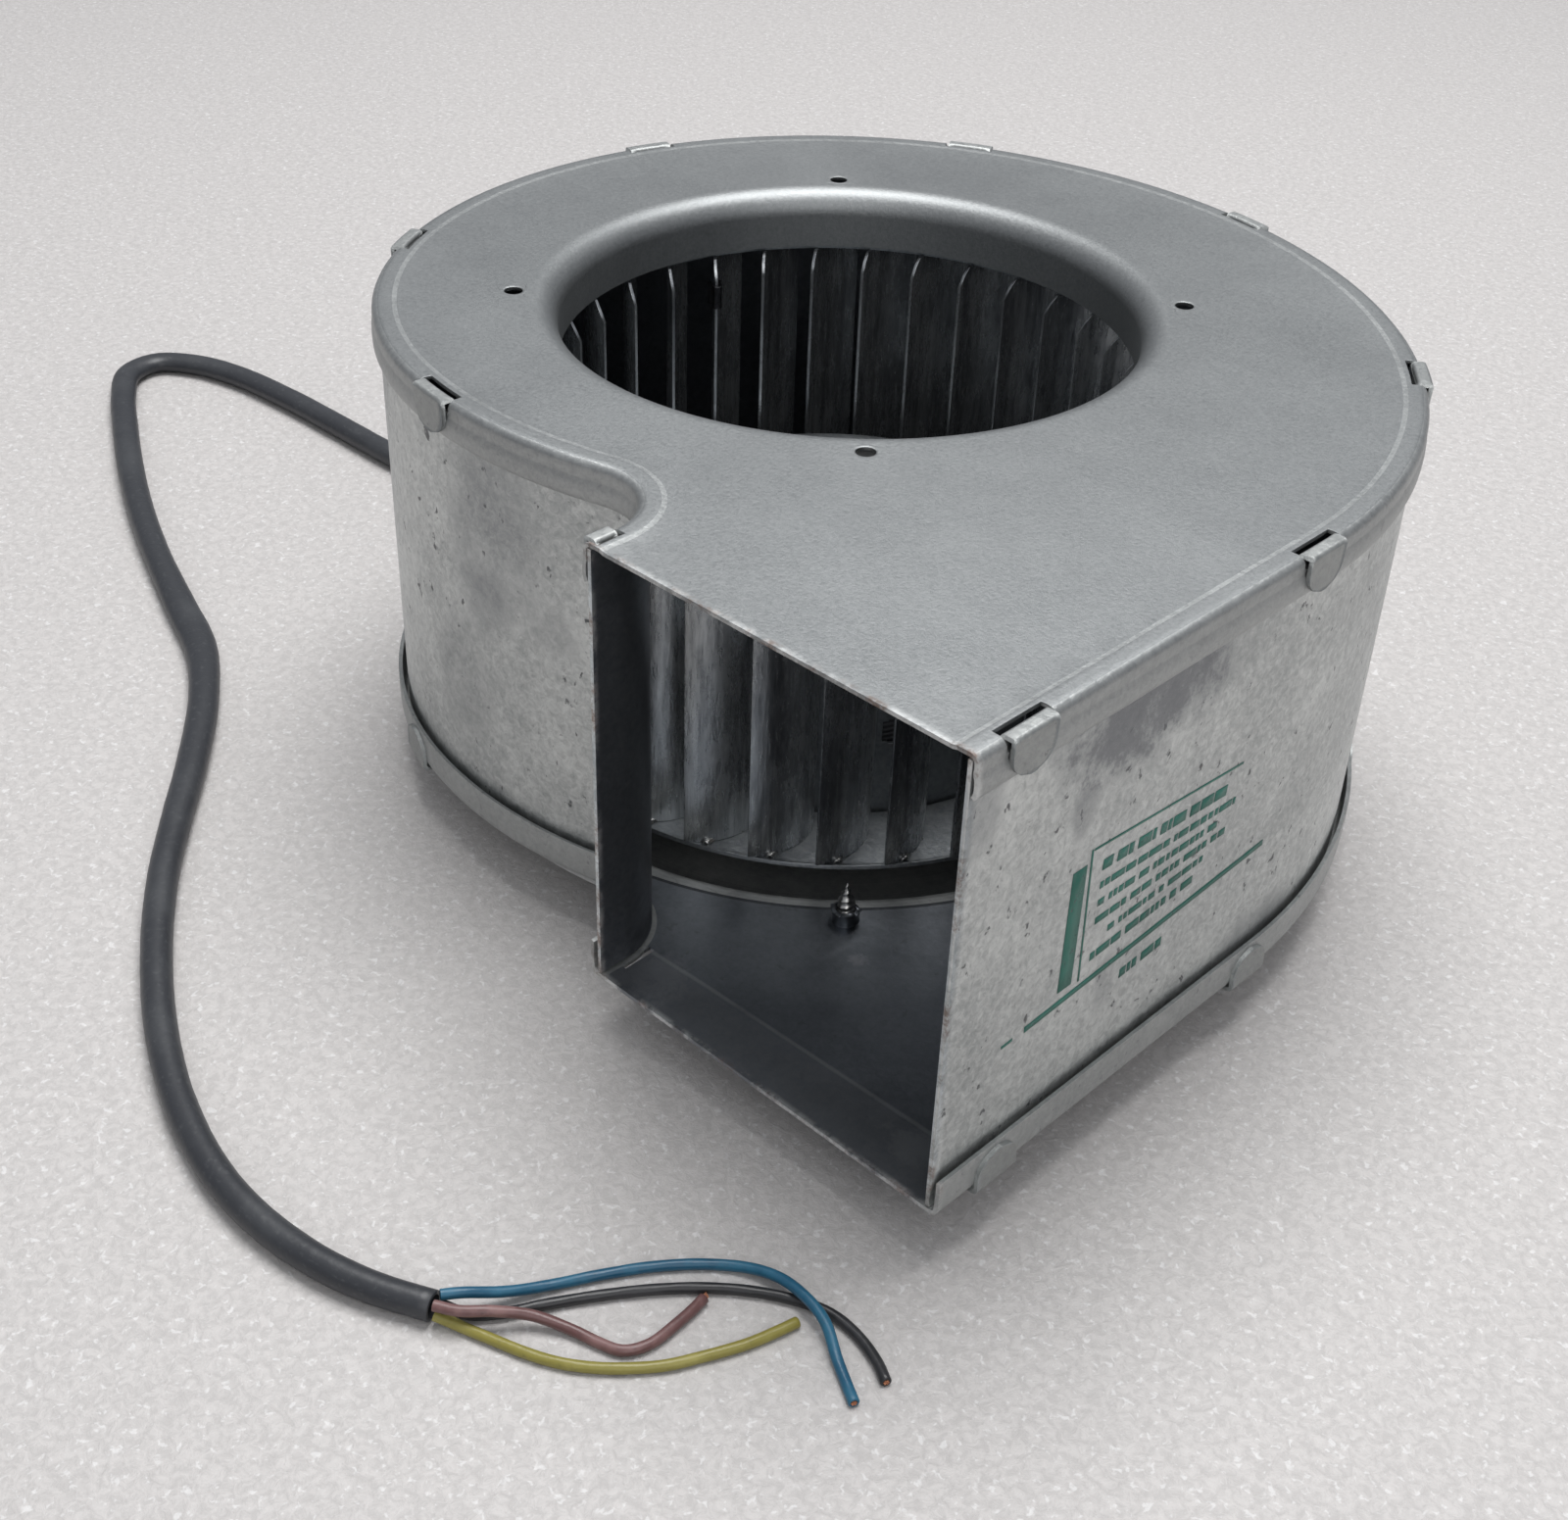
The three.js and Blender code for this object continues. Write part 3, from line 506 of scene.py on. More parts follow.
coreShape = {
    "diameter": 1.64,
    "sides": 20,
    "spacing": 0.7,
    "bore": 0.62,
    "boreDepth": 0.5,
    "ripple": 0.018,  # the strands' twist showing through, as a share of the radius
    "stripe": range(10, 16),  # of the sides: its lower side, where the stripe also stands for painted shade
}
strand = {"radius": 0.16, "apart": 0.3, "count": 7, "back": 1.5}
cores = {
    "core_blue": {
        "colours": ((0.01, 0.082, 0.15), (0.018, 0.12, 0.2)),
        "copper": 0.1,
        "route": [
            (63.1, -144.3, 3.74), (64.7, -141.6, 3.4), (67.5, -136.8, 2), (70.3, -131, 1),
            (73.2, -125.5, 0.85), (76.8, -119.6, 0.85), (81, -114.2, 0.85), (85.8, -109.8, 0.95),
            (90.9, -107.7, 1.8), (96.9, -107.8, 2.9), (102.6, -109, 2.7), (107.4, -111.6, 1.3),
            (110.9, -113.4, 0.85), (113.6, -114.9, 0.85),
        ],
    },
    "core_black": {
        "colours": ((0.016, 0.016, 0.018), (0.03, 0.03, 0.033)),
        "copper": 0.12,
        "route": [
            (63.1, -144.3, 1.76), (66.6, -142.2, 1), (69.6, -138.6, 0.85), (72.4, -133.6, 0.85),
            (75.6, -128.4, 0.85), (79.7, -122.5, 0.85), (84.1, -117.2, 0.85), (89.1, -112.5, 0.85),
            (94.7, -108.7, 0.85), (100.6, -106.3, 0.85), (106.2, -106.3, 0.85), (111.4, -107.8, 0.85),
            (114.3, -109.3, 0.85),
        ],
    },
    "core_brown": {
        "colours": ((0.13, 0.062, 0.06), (0.21, 0.115, 0.11)),
        "copper": 0.8,
        "route": [
            (63.95, -146.1, 3.74), (66.9, -144.2, 3.6), (69.9, -140.7, 3.2), (73.3, -136.9, 2.2),
            (78.2, -134, 1.1), (82.6, -132.6, 0.85), (85.9, -131.1, 0.85), (87.5, -128, 0.85),
            (87.6, -123.5, 0.85), (87.3, -119.6, 0.85), (86.9, -117, 0.85),
        ],
    },
    "core_earth": {
        "colours": ((0.24, 0.21, 0.045), (0.31, 0.275, 0.075)),
        "stripe": ((0.13, 0.17, 0.05), (0.2, 0.24, 0.08)),
        "copper": 0.1,
        "route": [
            (63.95, -146.1, 1.76), (67.6, -144.3, 1), (73.3, -142.2, 0.85), (78.9, -140, 0.85),
            (83.6, -137.2, 0.85), (88.2, -133, 0.85), (91.8, -128.5, 0.85), (94.3, -123.7, 0.85),
            (96.6, -118.7, 0.85), (98.1, -113.9, 0.85), (98.9, -110.6, 0.85),
        ],
    },
}


def tubeFrame(path, i):  # sideways and upward directions across a route that runs mostly level
    ahead = (path[min(i + 1, len(path) - 1)] - path[max(i - 1, 0)]).normalized()
    side = ahead.cross(Vector((0, 0, 1))).normalized()
    return ahead, side, side.cross(ahead)


def makeTube(path, halves, sides, bore, depth, ripple=0.0, pitch=7):
    # halves gives each ring's half width and half height; the far end is open to a depth
    bm = bmesh.new()
    angles = [2 * pi * j / sides for j in range(sides)]
    lines = []
    step = (path[1] - path[0]).length
    for i, (point, (wide, high)) in enumerate(zip(path, halves)):
        _, side, up = tubeFrame(path, i)
        line = []
        for a in angles:
            twist = 1 + ripple * cos(3 * a - 2 * pi * i * step / pitch)
            line.append(point + side * wide * cos(a) * twist + up * high * sin(a) * twist)
        lines.append(line)
    ahead, side, up = tubeFrame(path, len(path) - 1)
    for back, share in ((0, 1 - 0.35 * (1 - bore)), (0.02, bore), (depth, bore * 0.96)):
        centre = path[-1] + ahead * (0.12 - back)
        lines.append([centre + (side * wide * cos(a) + up * high * sin(a)) * share for a in angles])
    made = addGrid(bm, lines, True)
    bm.faces.new(made[0])
    bm.faces.new(made[-1])
    return bm


def makeSleeve():
    sampled, total = curvePoints(sleeve["route"], sleeve["spacing"])
    shapes = [along(sleeve["shape"], place) for _, place in sampled]
    rest = sleeve["diameter"] / 2
    path = []
    for (point, _), (_, high) in zip(sampled, shapes):  # where it is pressed flat, it still lies on the floor
        path.append(point - Vector((0, 0, (rest - high) * smooth(5, 2.9, point.z))))
    random.seed(4)
    halves = [(wide + random.uniform(-sleeve["wobble"], sleeve["wobble"]), high) for wide, high in shapes]
    bm = makeTube(path, halves, sleeve["sides"], sleeve["bore"], sleeve["boreDepth"])
    piece = newPiece("cableSleeve", bm, "housing", paintSleeve(), ["cable_sleeve"], sharp=60)
    rowPath = [row(p) for p in path]
    total / 1000


def makeStrands(name, path, bare, copper):  # the ends of a core's copper strands, just past its skin
    ahead, side, up = tubeFrame(path, len(path) - 1)
    angles = [pi * i / 4 for i in range(8)]
    bm = bmesh.new()
    for k in range(strand["count"]):
        off = (side * cos(k * pi / 3) + up * sin(k * pi / 3)) * strand["apart"] * (k > 0)
        tip = bare * (1 + 0.25 * sin(5 * k))
        lines = []
        for reach, share in ((-strand["back"], 1), (0, 1), (tip - 0.05, 1), (tip, 0.6)):
            centre = path[-1] + off + ahead * (reach + 0.1)
            radius = strand["radius"] * share
            lines.append([centre + (side * cos(a) + up * sin(a)) * radius for a in angles])
        made = addGrid(bm, lines, True)
        bm.faces.new(made[0])
        bm.faces.new(made[-1])
    return newPiece(name, bm, "housing", copper)


def makeCore(node, core, copper):
    sampled, total = curvePoints(core["route"], coreShape["spacing"])
    path = [point for point, _ in sampled]
    sides = coreShape["sides"]
    halves = [(coreShape["diameter"] / 2, coreShape["diameter"] / 2)] * len(path)
    bm = makeTube(path, halves, sides, coreShape["bore"], coreShape["boreDepth"], coreShape["ripple"])
    paints = [paintCoreSkin(node + "Skin", *core["colours"])]
    # the earth core's green stripe, laid along its lower side, where it also gives the core painted shade
    # underneath
    if "stripe" in core:
        paints.append(paintCoreSkin(node + "Stripe", *core["stripe"]))
        for index, face in enumerate(bm.faces):
            if index % sides in coreShape["stripe"]:
                face.material_index = 1
    word = node.split("_")[1].capitalize()
    piece = newPiece("core" + word, bm, "housing", paints, [node], sharp=60)
    strands = makeStrands("copper" + word, path, core["copper"], copper)
    rowPath = [row(p) for p in path]
    total / 1000


makeSleeve()
copper = paintCopper()
for node, core in cores.items():
    makeCore(node, core, copper)
print("cable laid")

# Zinc-coated sheet: mottled, with faint crystals, dark pits, smudges, and wear and rust on cut edges.

zincBase = {  # what a zinc finish has unless its own look says otherwise
    "grain": 0.8, "grainScale": 900, "cloud": 0.5, "cloudScale": 38, "crystal": 0.0, "crystalScale": 240,
    "rough": 0.3, "metal": 0.9, "relief": 0.3, "waves": 0.2,
    "pits": 0.4, "pitScale": 420, "pitColour": (0.07, 0.07, 0.075),
    "shine": 0.45, "shineColour": (0.82, 0.83, 0.82), "rust": 0, "rustColour": (0.12, 0.055, 0.028),
    "smudges": (), "smudge": (0.16, 0.165, 0.18),  # place, radius, squash and strength of each; their colour
    # crease: strength of the painted highlight along the floor's pressed crease and of the painted lighter
    # strip in front of it, with their colour
    "crease": 0, "creaseLightColour": (0.5, 0.51, 0.53),
}


def addSmudges(paint, look, colour, rough, grain, blotch):
    for point, radius, squash, strength in look["smudges"]:
        patch = paint.spot(row(point), radius / 1000, squash)
        broken = paint.between(grain * 0.6 + blotch * 1.1 + patch * 0.45, 0.95, 1.3)
        broken = broken * paint.between(patch, 0.0, 0.5) * strength
        colour = paint.mix(broken, colour, look["smudge"])
        rough = rough + broken * 0.1
    return colour, rough


def addWornEdge(paint, look, colour, rough, metal, blotch):  # bright and rusty spots along the cut front edge
    _, y, _ = paint.split()
    ragged = paint.noise(150, 5, 0.8)
    edge = 1 - paint.between(y - (housing["frontY"] + fanY) / 1000, 0.0001, 0.0013)
    rusted = edge * paint.between(ragged, 0.47, 0.66) * look["rust"]
    shiny = edge * paint.between(blotch, 0.42, 0.58) * look["shine"]
    colour = paint.mix(shiny, colour, look["shineColour"])
    colour = paint.mix(rusted, colour, look["rustColour"])
    return colour, rough + rusted * 0.3, metal - rusted * 0.8


def addCreaseLight(paint, look, colour, rough, cloud):  # painted highlight along the pressed crease and a painted lighter strip in front of it, which is also rougher
    creaseX, creaseY, slope = backPlate["crease"]
    x, y, _ = paint.split()
    away = y - (x * slope + (fanY + creaseY - slope * (creaseX + fanX)) / 1000)
    apart = paint.add("ShaderNodeMath", {"operation": "ABSOLUTE"}, {0: away})
    line = (1 - paint.between(apart, 0.0001, 0.0006)) * look["crease"]
    ahead = 1 - paint.between(away, -0.001, 0.0002)
    colour = paint.mix(line * paint.between(cloud, 0.3, 0.5) + ahead * 0.16, colour, look["creaseLightColour"])
    return colour, rough + ahead * 0.08


def paintZinc(name, ownLook):
    look = {**zincBase, **ownLook}
    paint = Paint(name)
    grain = paint.noise(look["grainScale"], 5, 0.72, warp=0.6)
    cloud = paint.noise(look["cloudScale"], 4, 0.6)
    blotch = paint.noise(130, 5, 0.75)
    crystal = paint.cells(look["crystalScale"])
    tone = (grain - 0.5) * look["grain"] + (crystal - 0.5) * look["crystal"]
    tone = tone + (cloud - 0.5) * look["cloud"] + 0.5
    colour = paint.mix(paint.between(tone, 0.12, 0.88), look["dark"], look["light"])
    pits = paint.between(paint.noise(look["pitScale"], 3, 0.62, (1, 1, 0.8), 0.3), 0.64, 0.72) * look["pits"]
    colour = paint.mix(pits, colour, look["pitColour"])
    rough = grain * 0.16 + (cloud * 0.12 + look["rough"])
    metal = 1 - pits * 0.5
    colour, rough = addSmudges(paint, look, colour, rough, grain, blotch)
    if look["rust"]:
        colour, rough, metal = addWornEdge(paint, look, colour, rough, metal, blotch)
    if look["crease"]:
        colour, rough = addCreaseLight(paint, look, colour, rough, cloud)
    relief = paint.bump(grain, look["relief"], 0.00035)
    relief = paint.bump(cloud, look["waves"], 0.0035, relief)
    metal = metal * look["metal"]
    return paint.done({"Base Color": colour, "Metallic": metal, "Roughness": rough, "Normal": relief})


plateLook = {
    "dark": (0.2, 0.209, 0.212), "light": (0.32, 0.33, 0.33), "grainScale": 1500, "cloud": 0.22,
    "rough": 0.33, "relief": 0.22, "waves": 0.03, "pits": 0.1, "pitScale": 900, "rust": 0.75,
}
bandLook = {
    "dark": (0.34, 0.355, 0.355), "light": (0.7, 0.715, 0.7), "grain": 1.15, "grainScale": 760,
    "crystal": 0.06, "cloud": 0.85, "cloudScale": 30, "relief": 0.38, "waves": 0.22, "pits": 0.9,
    "rust": 0.75,
    "smudges": (
        ((-6, -75.5, 70), 19, (1, 1, 0.62), 0.26),
        ((-9, -75.5, 56), 11, (1, 1, 1), 0.24),
        ((7.7, -74.4, 55.4), 8, (1, 1, 1), 0.24),
        ((-16, -75, 36), 15, (1, 1, 0.7), 0.2),
        ((103.3, -52, 77.8), 19, (1, 0.62, 1.3), 0.75),
        ((103.3, -63.6, 68), 5, (1, 1, 0.6), 0.4),
        ((103.3, -10, 17), 11, (1, 0.7, 1.2), 0.35),
        ((103.3, -53, 31), 6, (1, 1.6, 0.5), 0.25),
        ((103.3, -86, 80), 8, (1, 1, 0.6), 0.35),
    ),
}
# darker copy of the band's zinc for its inner side: painted shade inside the scroll
innerShadeLook = {
    "dark": (0.15, 0.16, 0.18), "light": (0.3, 0.315, 0.34), "grain": 0.7, "crystal": 0.03, "rough": 0.26,
    "metal": 0.95, "relief": 0.15, "waves": 0.15, "rust": 0.5,
}
# darker copy of the band's zinc for its tabs: painted shade, so the raised tabs catch less light
tabShadeLook = {
    "dark": (0.24, 0.25, 0.25), "light": (0.42, 0.43, 0.42), "rough": 0.34, "metal": 0.85, "relief": 0.35,
}
# near-black copy of the zinc for the flat ring round the pan's opening: a painted shade line
edgeShadeLook = {
    "dark": (0.04, 0.043, 0.048), "light": (0.13, 0.14, 0.15), "grain": 0.7, "rough": 0.45, "metal": 0.7,
}
# lighter copy of the plate's zinc for its folded rim: painted light, standing in for the pale floor's
# reflection on the rim
foldLitLook = {
    "dark": (0.26, 0.27, 0.27), "light": (0.46, 0.47, 0.465), "grainScale": 1100, "cloud": 0.4, "waves": 0.15,
    "pits": 0.3, "rust": 0.75,
}
# lighter copy of the zinc for the back plate's rim: painted light, as on the inlet plate's fold
rimLitLook = {
    "dark": (0.28, 0.29, 0.29), "light": (0.5, 0.51, 0.5), "crystal": 0.03, "rough": 0.36, "metal": 0.85,
    "relief": 0.35, "rust": 0.5,
}
# darker copy of the zinc for the duct's floor: painted shade inside the housing
floorShadeLook = {
    "dark": (0.13, 0.142, 0.16), "light": (0.26, 0.275, 0.295), "grain": 0.5, "crystal": 0.05, "rough": 0.2,
    "metal": 0.95, "relief": 0.12, "waves": 0.12, "pits": 0.3, "rust": 0.75, "crease": 0.45, "shine": 0.85,
    "smudge": (0.4, 0.41, 0.43),
    "smudges": (
        ((94, -81.5, 10.7), 7, (0.7, 1.3, 1), 0.4),
        ((40, -84, 10.7), 9, (0.8, 1, 1), 0.3),
        ((60, -57, 10.7), 3, (1, 1, 1), 0.4),
    ),
}

# The scroll's outline, on its side band's outer face: flat side, four arcs, the cut-off and the duct's wall.

housing = {
    "sheet": 0.7,
    "flatX": rowBox("inlet_plate")[1].x - 1.0,
    "leftX": 33.6,
    "frontY": rowBox("scroll_band")[0].y,
    "flatEndY": -12.5,
    # radii of the arcs, and the angles at which one arc gives way to the next
    "right": 97.4,
    "back": 82.4,
    "left": 70.9,
    "tongue": 85.0,
    "cutoff": 12.4,
    "turns": (111.9, 208.9, 255.0),
    "topZ": rowBox("inlet_plate")[1].z,
    "baseZ": rowBox("back_plate")[0].z,
    "bandInset": 1.0,
    "bendRadius": 1.2,
}
halfSheet = housing["sheet"] / 2


def outlinePieces():
    h = housing
    turns = [radians(a) for a in h["turns"]]
    right = (h["flatX"] - h["right"], h["flatEndY"])
    back = polar(h["right"] - h["back"], turns[0], right)
    left = polar(h["back"] - h["left"], turns[1], back)
    tongue = polar(h["left"] - h["tongue"], turns[2], left)
    cutX = h["leftX"] - h["cutoff"]
    cut = (cutX, tongue[1] - sqrt((h["tongue"] + h["cutoff"]) ** 2 - (cutX - tongue[0]) ** 2))
    last = 2 * pi + atan2(cut[1] - tongue[1], cut[0] - tongue[0])
    return [
        ("line", (h["flatX"], h["frontY"]), (h["flatX"], h["flatEndY"])),
        ("arc", right, h["right"], 0, turns[0]),
        ("arc", back, h["back"], turns[0], turns[1]),
        ("arc", left, h["left"], turns[1], turns[2]),
        ("arc", tongue, h["tongue"], turns[2], last),
        ("arc", cut, h["cutoff"], last - pi, 0),
        ("line", (h["leftX"], cut[1]), (h["leftX"], h["frontY"])),
    ]


outline = outlinePieces()


def pieceLength(part):  # of a piece of the outline
    if part[0] == "line":
        return hypot(part[2][0] - part[1][0], part[2][1] - part[1][1])
    return part[2] * abs(part[4] - part[3])


lengths = [pieceLength(part) for part in outline]
wholeLength = sum(lengths)


def outlineAt(s, offset=0.0):  # the point at distance s along the band's outer face, moved outward by offset
    k = 0
    while k < len(outline) - 1 and s > lengths[k]:
        s -= lengths[k]
        k += 1
    part = outline[k]
    t = s / lengths[k]
    if part[0] == "line":
        (x0, y0), (x1, y1) = part[1:]
        out = Vector((y1 - y0, x0 - x1)).normalized()
        point = Vector((x0 + (x1 - x0) * t, y0 + (y1 - y0) * t))
    else:
        angle = part[3] + (part[4] - part[3]) * t
        point = Vector(polar(part[2], angle, part[1]))
        out = Vector((cos(angle), sin(angle))) * (1 if part[4] > part[3] else -1)
    return point + out * offset


def distanceTo(index, value):  # distance along the outline to an angle on an arc, or to a y on a line
    part = outline[index]
    before = sum(lengths[:index])
    if part[0] == "line":
        return before + abs(value - part[1][1])
    return before + part[2] * abs(radians(value) - part[3])


tabs = {
    "width": 8.6,
    "wallWidth": 4.0,
    "leg": 6.7,
    "slotSide": 0.5,
    # places: number of the outline's piece, with an angle on an arc or a y on a line
    "shared": [(3, 210.2), (2, 163.1), (2, 116.8), (1, 79.1), (1, 38.0), (0, -14.0)],
    "top": [(4, 261.6), (0, -79.0)],
    "base": [(3, 250.0), (0, -77.0)],
    "wall": (6, -86.2),
}
topTabs = [(distanceTo(*place), tabs["width"]) for place in tabs["shared"] + tabs["top"]]
topTabs.append((distanceTo(*tabs["wall"]), tabs["wallWidth"]))
baseTabs = [(distanceTo(*place), tabs["width"]) for place in tabs["shared"] + tabs["base"]]


def stations(marks, spacing=2.4):  # distances along the outline, with every mark and every joint between arcs
    fixed = sorted({0.0, wholeLength, *marks, *(sum(lengths[: i + 1]) for i in range(len(lengths) - 1))})
    out = []
    for a, b in zip(fixed, fixed[1:]):
        if b - a < 1e-4:
            continue
        inCut = sum(lengths[:5]) - 0.01 <= a <= sum(lengths[:6])
        count = max(1, ceil((b - a) / (spacing / 2 if inCut else spacing)))
        out += [a + (b - a) * i / count for i in range(count)]
    return out + [wholeLength]


def tabSpans(places, side=0.0):  # where each tab starts and ends along the outline, widened by side
    return [(s - width / 2 - side, s + width / 2 + side) for s, width in places]


def tabMarks(places, side=0.0):
    return [s for span in tabSpans(places, side) for s in span]


# Scroll band: one strip with tabs folded over both plates' rims, the top ones flush with the inlet plate.

folds = {  # top 1, base -1: face, the sheet's middle below it at the crest, the leg's stand-off, bend radius
    1: {"level": housing["topZ"], "crest": 0.3, "leg": 1.5, "radius": 0.33},
    -1: {"level": housing["baseZ"], "crest": 0.5, "leg": 1.98, "radius": 0.75},
}


def foldProfile(way):  # middle line of a tab, from the band's edge over the rim and back: (offset, height)
    fold = folds[way]
    r = fold["radius"]
    crest = fold["level"] - fold["crest"]
    turn = crest - way * r
    quarter = [radians(22.5 * k) for k in range(5)]
    points = [(-halfSheet, fold["level"] - way * housing["bandInset"])]
    points += [(-halfSheet + r - r * cos(a), turn + way * r * sin(a)) for a in quarter]
    points += [(fold["leg"] - r + r * sin(a), turn + way * r * cos(a)) for a in quarter]
    end = crest - way * (tabs["leg"] - halfSheet)
    for k in range(1, 9):
        points.append((fold["leg"] - 0.08 * sin(pi * k / 8), turn + (end - turn) * k / 8))
    return points, end


def addTab(bm, place, width, way):
    profile, end = foldProfile(way)
    tip = 0.42 * width
    lines = []
    for offset, height in profile:
        gone = abs(height - end)
        share = sqrt(max(0.02, 1 - ((tip - gone) / tip) ** 2)) if gone < tip and offset > 1 else 1
        line = []
        for j in range(9):
            side = (j / 8 - 0.5) * width * share
            line.append((*outlineAt(place + side, offset), height))
        lines.append(line)
    addGrid(bm, lines)


def makeBand():
    low = housing["baseZ"] + housing["bandInset"]
    high = housing["topZ"] - housing["bandInset"]
    run = stations(tabMarks(topTabs) + tabMarks(baseTabs))
    bm = bmesh.new()
    rows = 15
    heights = [low + (high - low) * i / rows for i in range(rows + 1)]
    addGrid(bm, [[(*outlineAt(s, -halfSheet), z) for s in run] for z in heights])
    plain = set(bm.faces)
    for places, way in ((topTabs, 1), (baseTabs, -1)):
        for place, width in places:
            addTab(bm, place, width, way)
    # the tabs take the third material, the band's zinc darkened with painted shade
    for face in bm.faces:
        face.material_index = 0 if face in plain else 2
    bmesh.ops.remove_doubles(bm, verts=bm.verts, dist=0.02)
    looks = (("bandZinc", bandLook), ("innerShadeZinc", innerShadeLook), ("tabShadeZinc", tabShadeLook))
    piece = newPiece(
        "scrollBand", bm, "housing", [paintZinc(*look) for look in looks], ["scroll_band"],
        thickness=housing["sheet"], bevel=0.1,
    )
    piece.modifiers["thickness"].material_offset = 1  # the inner side shows the second material, the band's zinc darkened with painted shade inside the scroll


makeBand()
print("band made")

# Both plates have a rim folded along the band, with a slot in the bend for each tab.

bendRows = 5  # round a plate's bend


def addRim(bm, plate, way, places, relief=None):  # returns the outline of the flat sheet inside the rim
    level = housing["topZ"] if way > 0 else housing["baseZ"]
    face = level - way * halfSheet
    bend = housing["bendRadius"]
    rows = [(offset, level - way * depth) for offset, depth in plate["rim"]]
    for k in range(1, bendRows + 1):
        a = radians(90 * k / bendRows)
        rows.append((plate["bendEnd"] - bend + bend * cos(a), face - way * (bend - bend * sin(a))))
    rows += [(offset, face) for offset in plate["flat"]]
    run = stations(tabMarks(places, tabs["slotSide"]))
    spans = tabSpans(places, tabs["slotSide"])
    slotEnd = len(plate["rim"]) + bendRows + 1

    def skip(i, j):
        middle = (run[j] + run[j + 1]) / 2
        return plate["slotStart"] <= i < slotEnd and any(a < middle < b for a, b in spans)

    lines = [[(*outlineAt(s, offset), height) for s in run] for offset, height in rows]
    if relief:
        lines[-1] = [(x, y, z + relief(x, y)) for x, y, z in lines[-1]]
    addGrid(bm, lines, skip=skip)
    return [tuple(outlineAt(s, plate["flat"][-1])) for s in run]


def rimKeys(loops):  # the points where the flat sheet has to meet what is round it
    return {(round(x, 3), round(y, 3)) for loop in loops for x, y in loop}


# Inlet plate, with its mouth rolled inward and four holes for hanging the blower.

inlet = {
    "throat": 50.0,
    "depth": 10.5,
    "straight": 3,
    "lip": 4.5,  # radius of the rolled edge
    "apron": 1.2,  # flat ring round the rolled edge
    "levelTo": 62,  # the sheet meets the mouth and its holes level inside this radius
    "around": 180,
    "holeCircle": 57.6,
    "hole": 1.5,
    "holeStart": 45.3,
    "holeEdge": [(0.15, -0.05), (0.45, 0.02), (0.9, 0)],  # beyond the hole's radius, above the sheet
    # rim from its lower edge up to the bend: outward offset and drop below the face
    "rim": [
        (0.42, 6.5), (0.62, 6.2), (0.82, 5.6), (0.86, 4.6), (0.8, 3.7), (0.6, 3.1), (0.55, 2.6), (0.62, 2.0),
    ],
    "bendEnd": 0.65,  # outward offset where the bend over the edge starts
    "flat": (-0.95, -1.7, -2.5, -3.3),  # offsets inside the bend
    "slotStart": 7,  # number of the rim's row from which the tabs' slots are open
}


def plateRelief(x, y):  # the sheet is slightly hollow between the mouth and the rim
    return -0.1 * smooth(58, 68, hypot(x, y)) - 0.12 * smooth(-52, -80, y + 0.35 * (60 - x))


def makeInletPlate():
    face = housing["topZ"] - halfSheet
    bm = bmesh.new()
    outer = addRim(bm, inlet, 1, topTabs, plateRelief)
    # the folded rim below the face takes the lighter copy of the zinc, painted light
    for folded in bm.faces:
        folded.material_index = 1 if folded.calc_center_median().z < face - 0.05 else 0

    low = housing["topZ"] - inlet["depth"]
    mouth = [(inlet["throat"] + halfSheet, low), (inlet["throat"] + halfSheet, low + inlet["straight"])]
    lip = inlet["lip"] - halfSheet
    centre = (inlet["throat"] + inlet["lip"], housing["topZ"] - inlet["lip"])
    for k in range(13):
        a = radians(180 - 7.5 * k)
        mouth.append((centre[0] + lip * cos(a), centre[1] + lip * sin(a)))
    mouth += [(centre[0] + inlet["apron"] / 2, face), (centre[0] + inlet["apron"], face)]
    addTurned(bm, mouth, inlet["around"])

    holes = [ringPoints(centre[0] + inlet["apron"], inlet["around"])]
    for at in placesRound(inlet["holeCircle"], inlet["holeStart"]):
        edge = [(inlet["hole"] + beyond, face + rise) for beyond, rise in inlet["holeEdge"]]
        addTurned(bm, edge, 24, at)
        holes.append(ringPoints(edge[-1][0], 24, at))
    met = rimKeys([outer, *holes])

    def height(x, y):
        level = (round(x, 3), round(y, 3)) in met and hypot(x, y) < inlet["levelTo"]
        return face if level else face + plateRelief(x, y)

    addFlat(bm, outer, holes, height)
    bmesh.ops.remove_doubles(bm, verts=bm.verts, dist=0.03)
    newPiece(
        "inletPlate", bm, "housing", [paintZinc("plateZinc", plateLook), paintZinc("foldLitZinc", foldLitLook)],
        ["inlet_plate"], thickness=housing["sheet"], bevel=0.09,
    )


makeInletPlate()
print("inlet plate made")

# Back plate: the duct's floor, open in the middle for the motor pan, with drawn-up collars for four screws.

backPlate = {
    "opening": 69.5,
    "lip": 0.7,
    "around": 180,
    "screwCircle": 72.5,
    "screwStart": -44.7,
    # radius, height above the sheet and raggedness
    "collar": [(2.1, 0, 0), (1.95, 0.5, 0), (1.85, 1.3, 0.1), (1.95, 2.2, 0.45), (2.15, 2.7, 0.5)],
    "slit": ((35.2, -82.2), 1.2, 6.4),
    "crease": (45, -79.3, 0.03),  # a point on the line pressed across the duct's floor, and its slope
    "rim": [(1.2, 6.5), (1.28, 6.2), (1.3, 4.4), (1.25, 2.0)],
    "bendEnd": 1.25,
    "flat": (-0.5, -1.0, -1.5),
    "slotStart": 4,
}


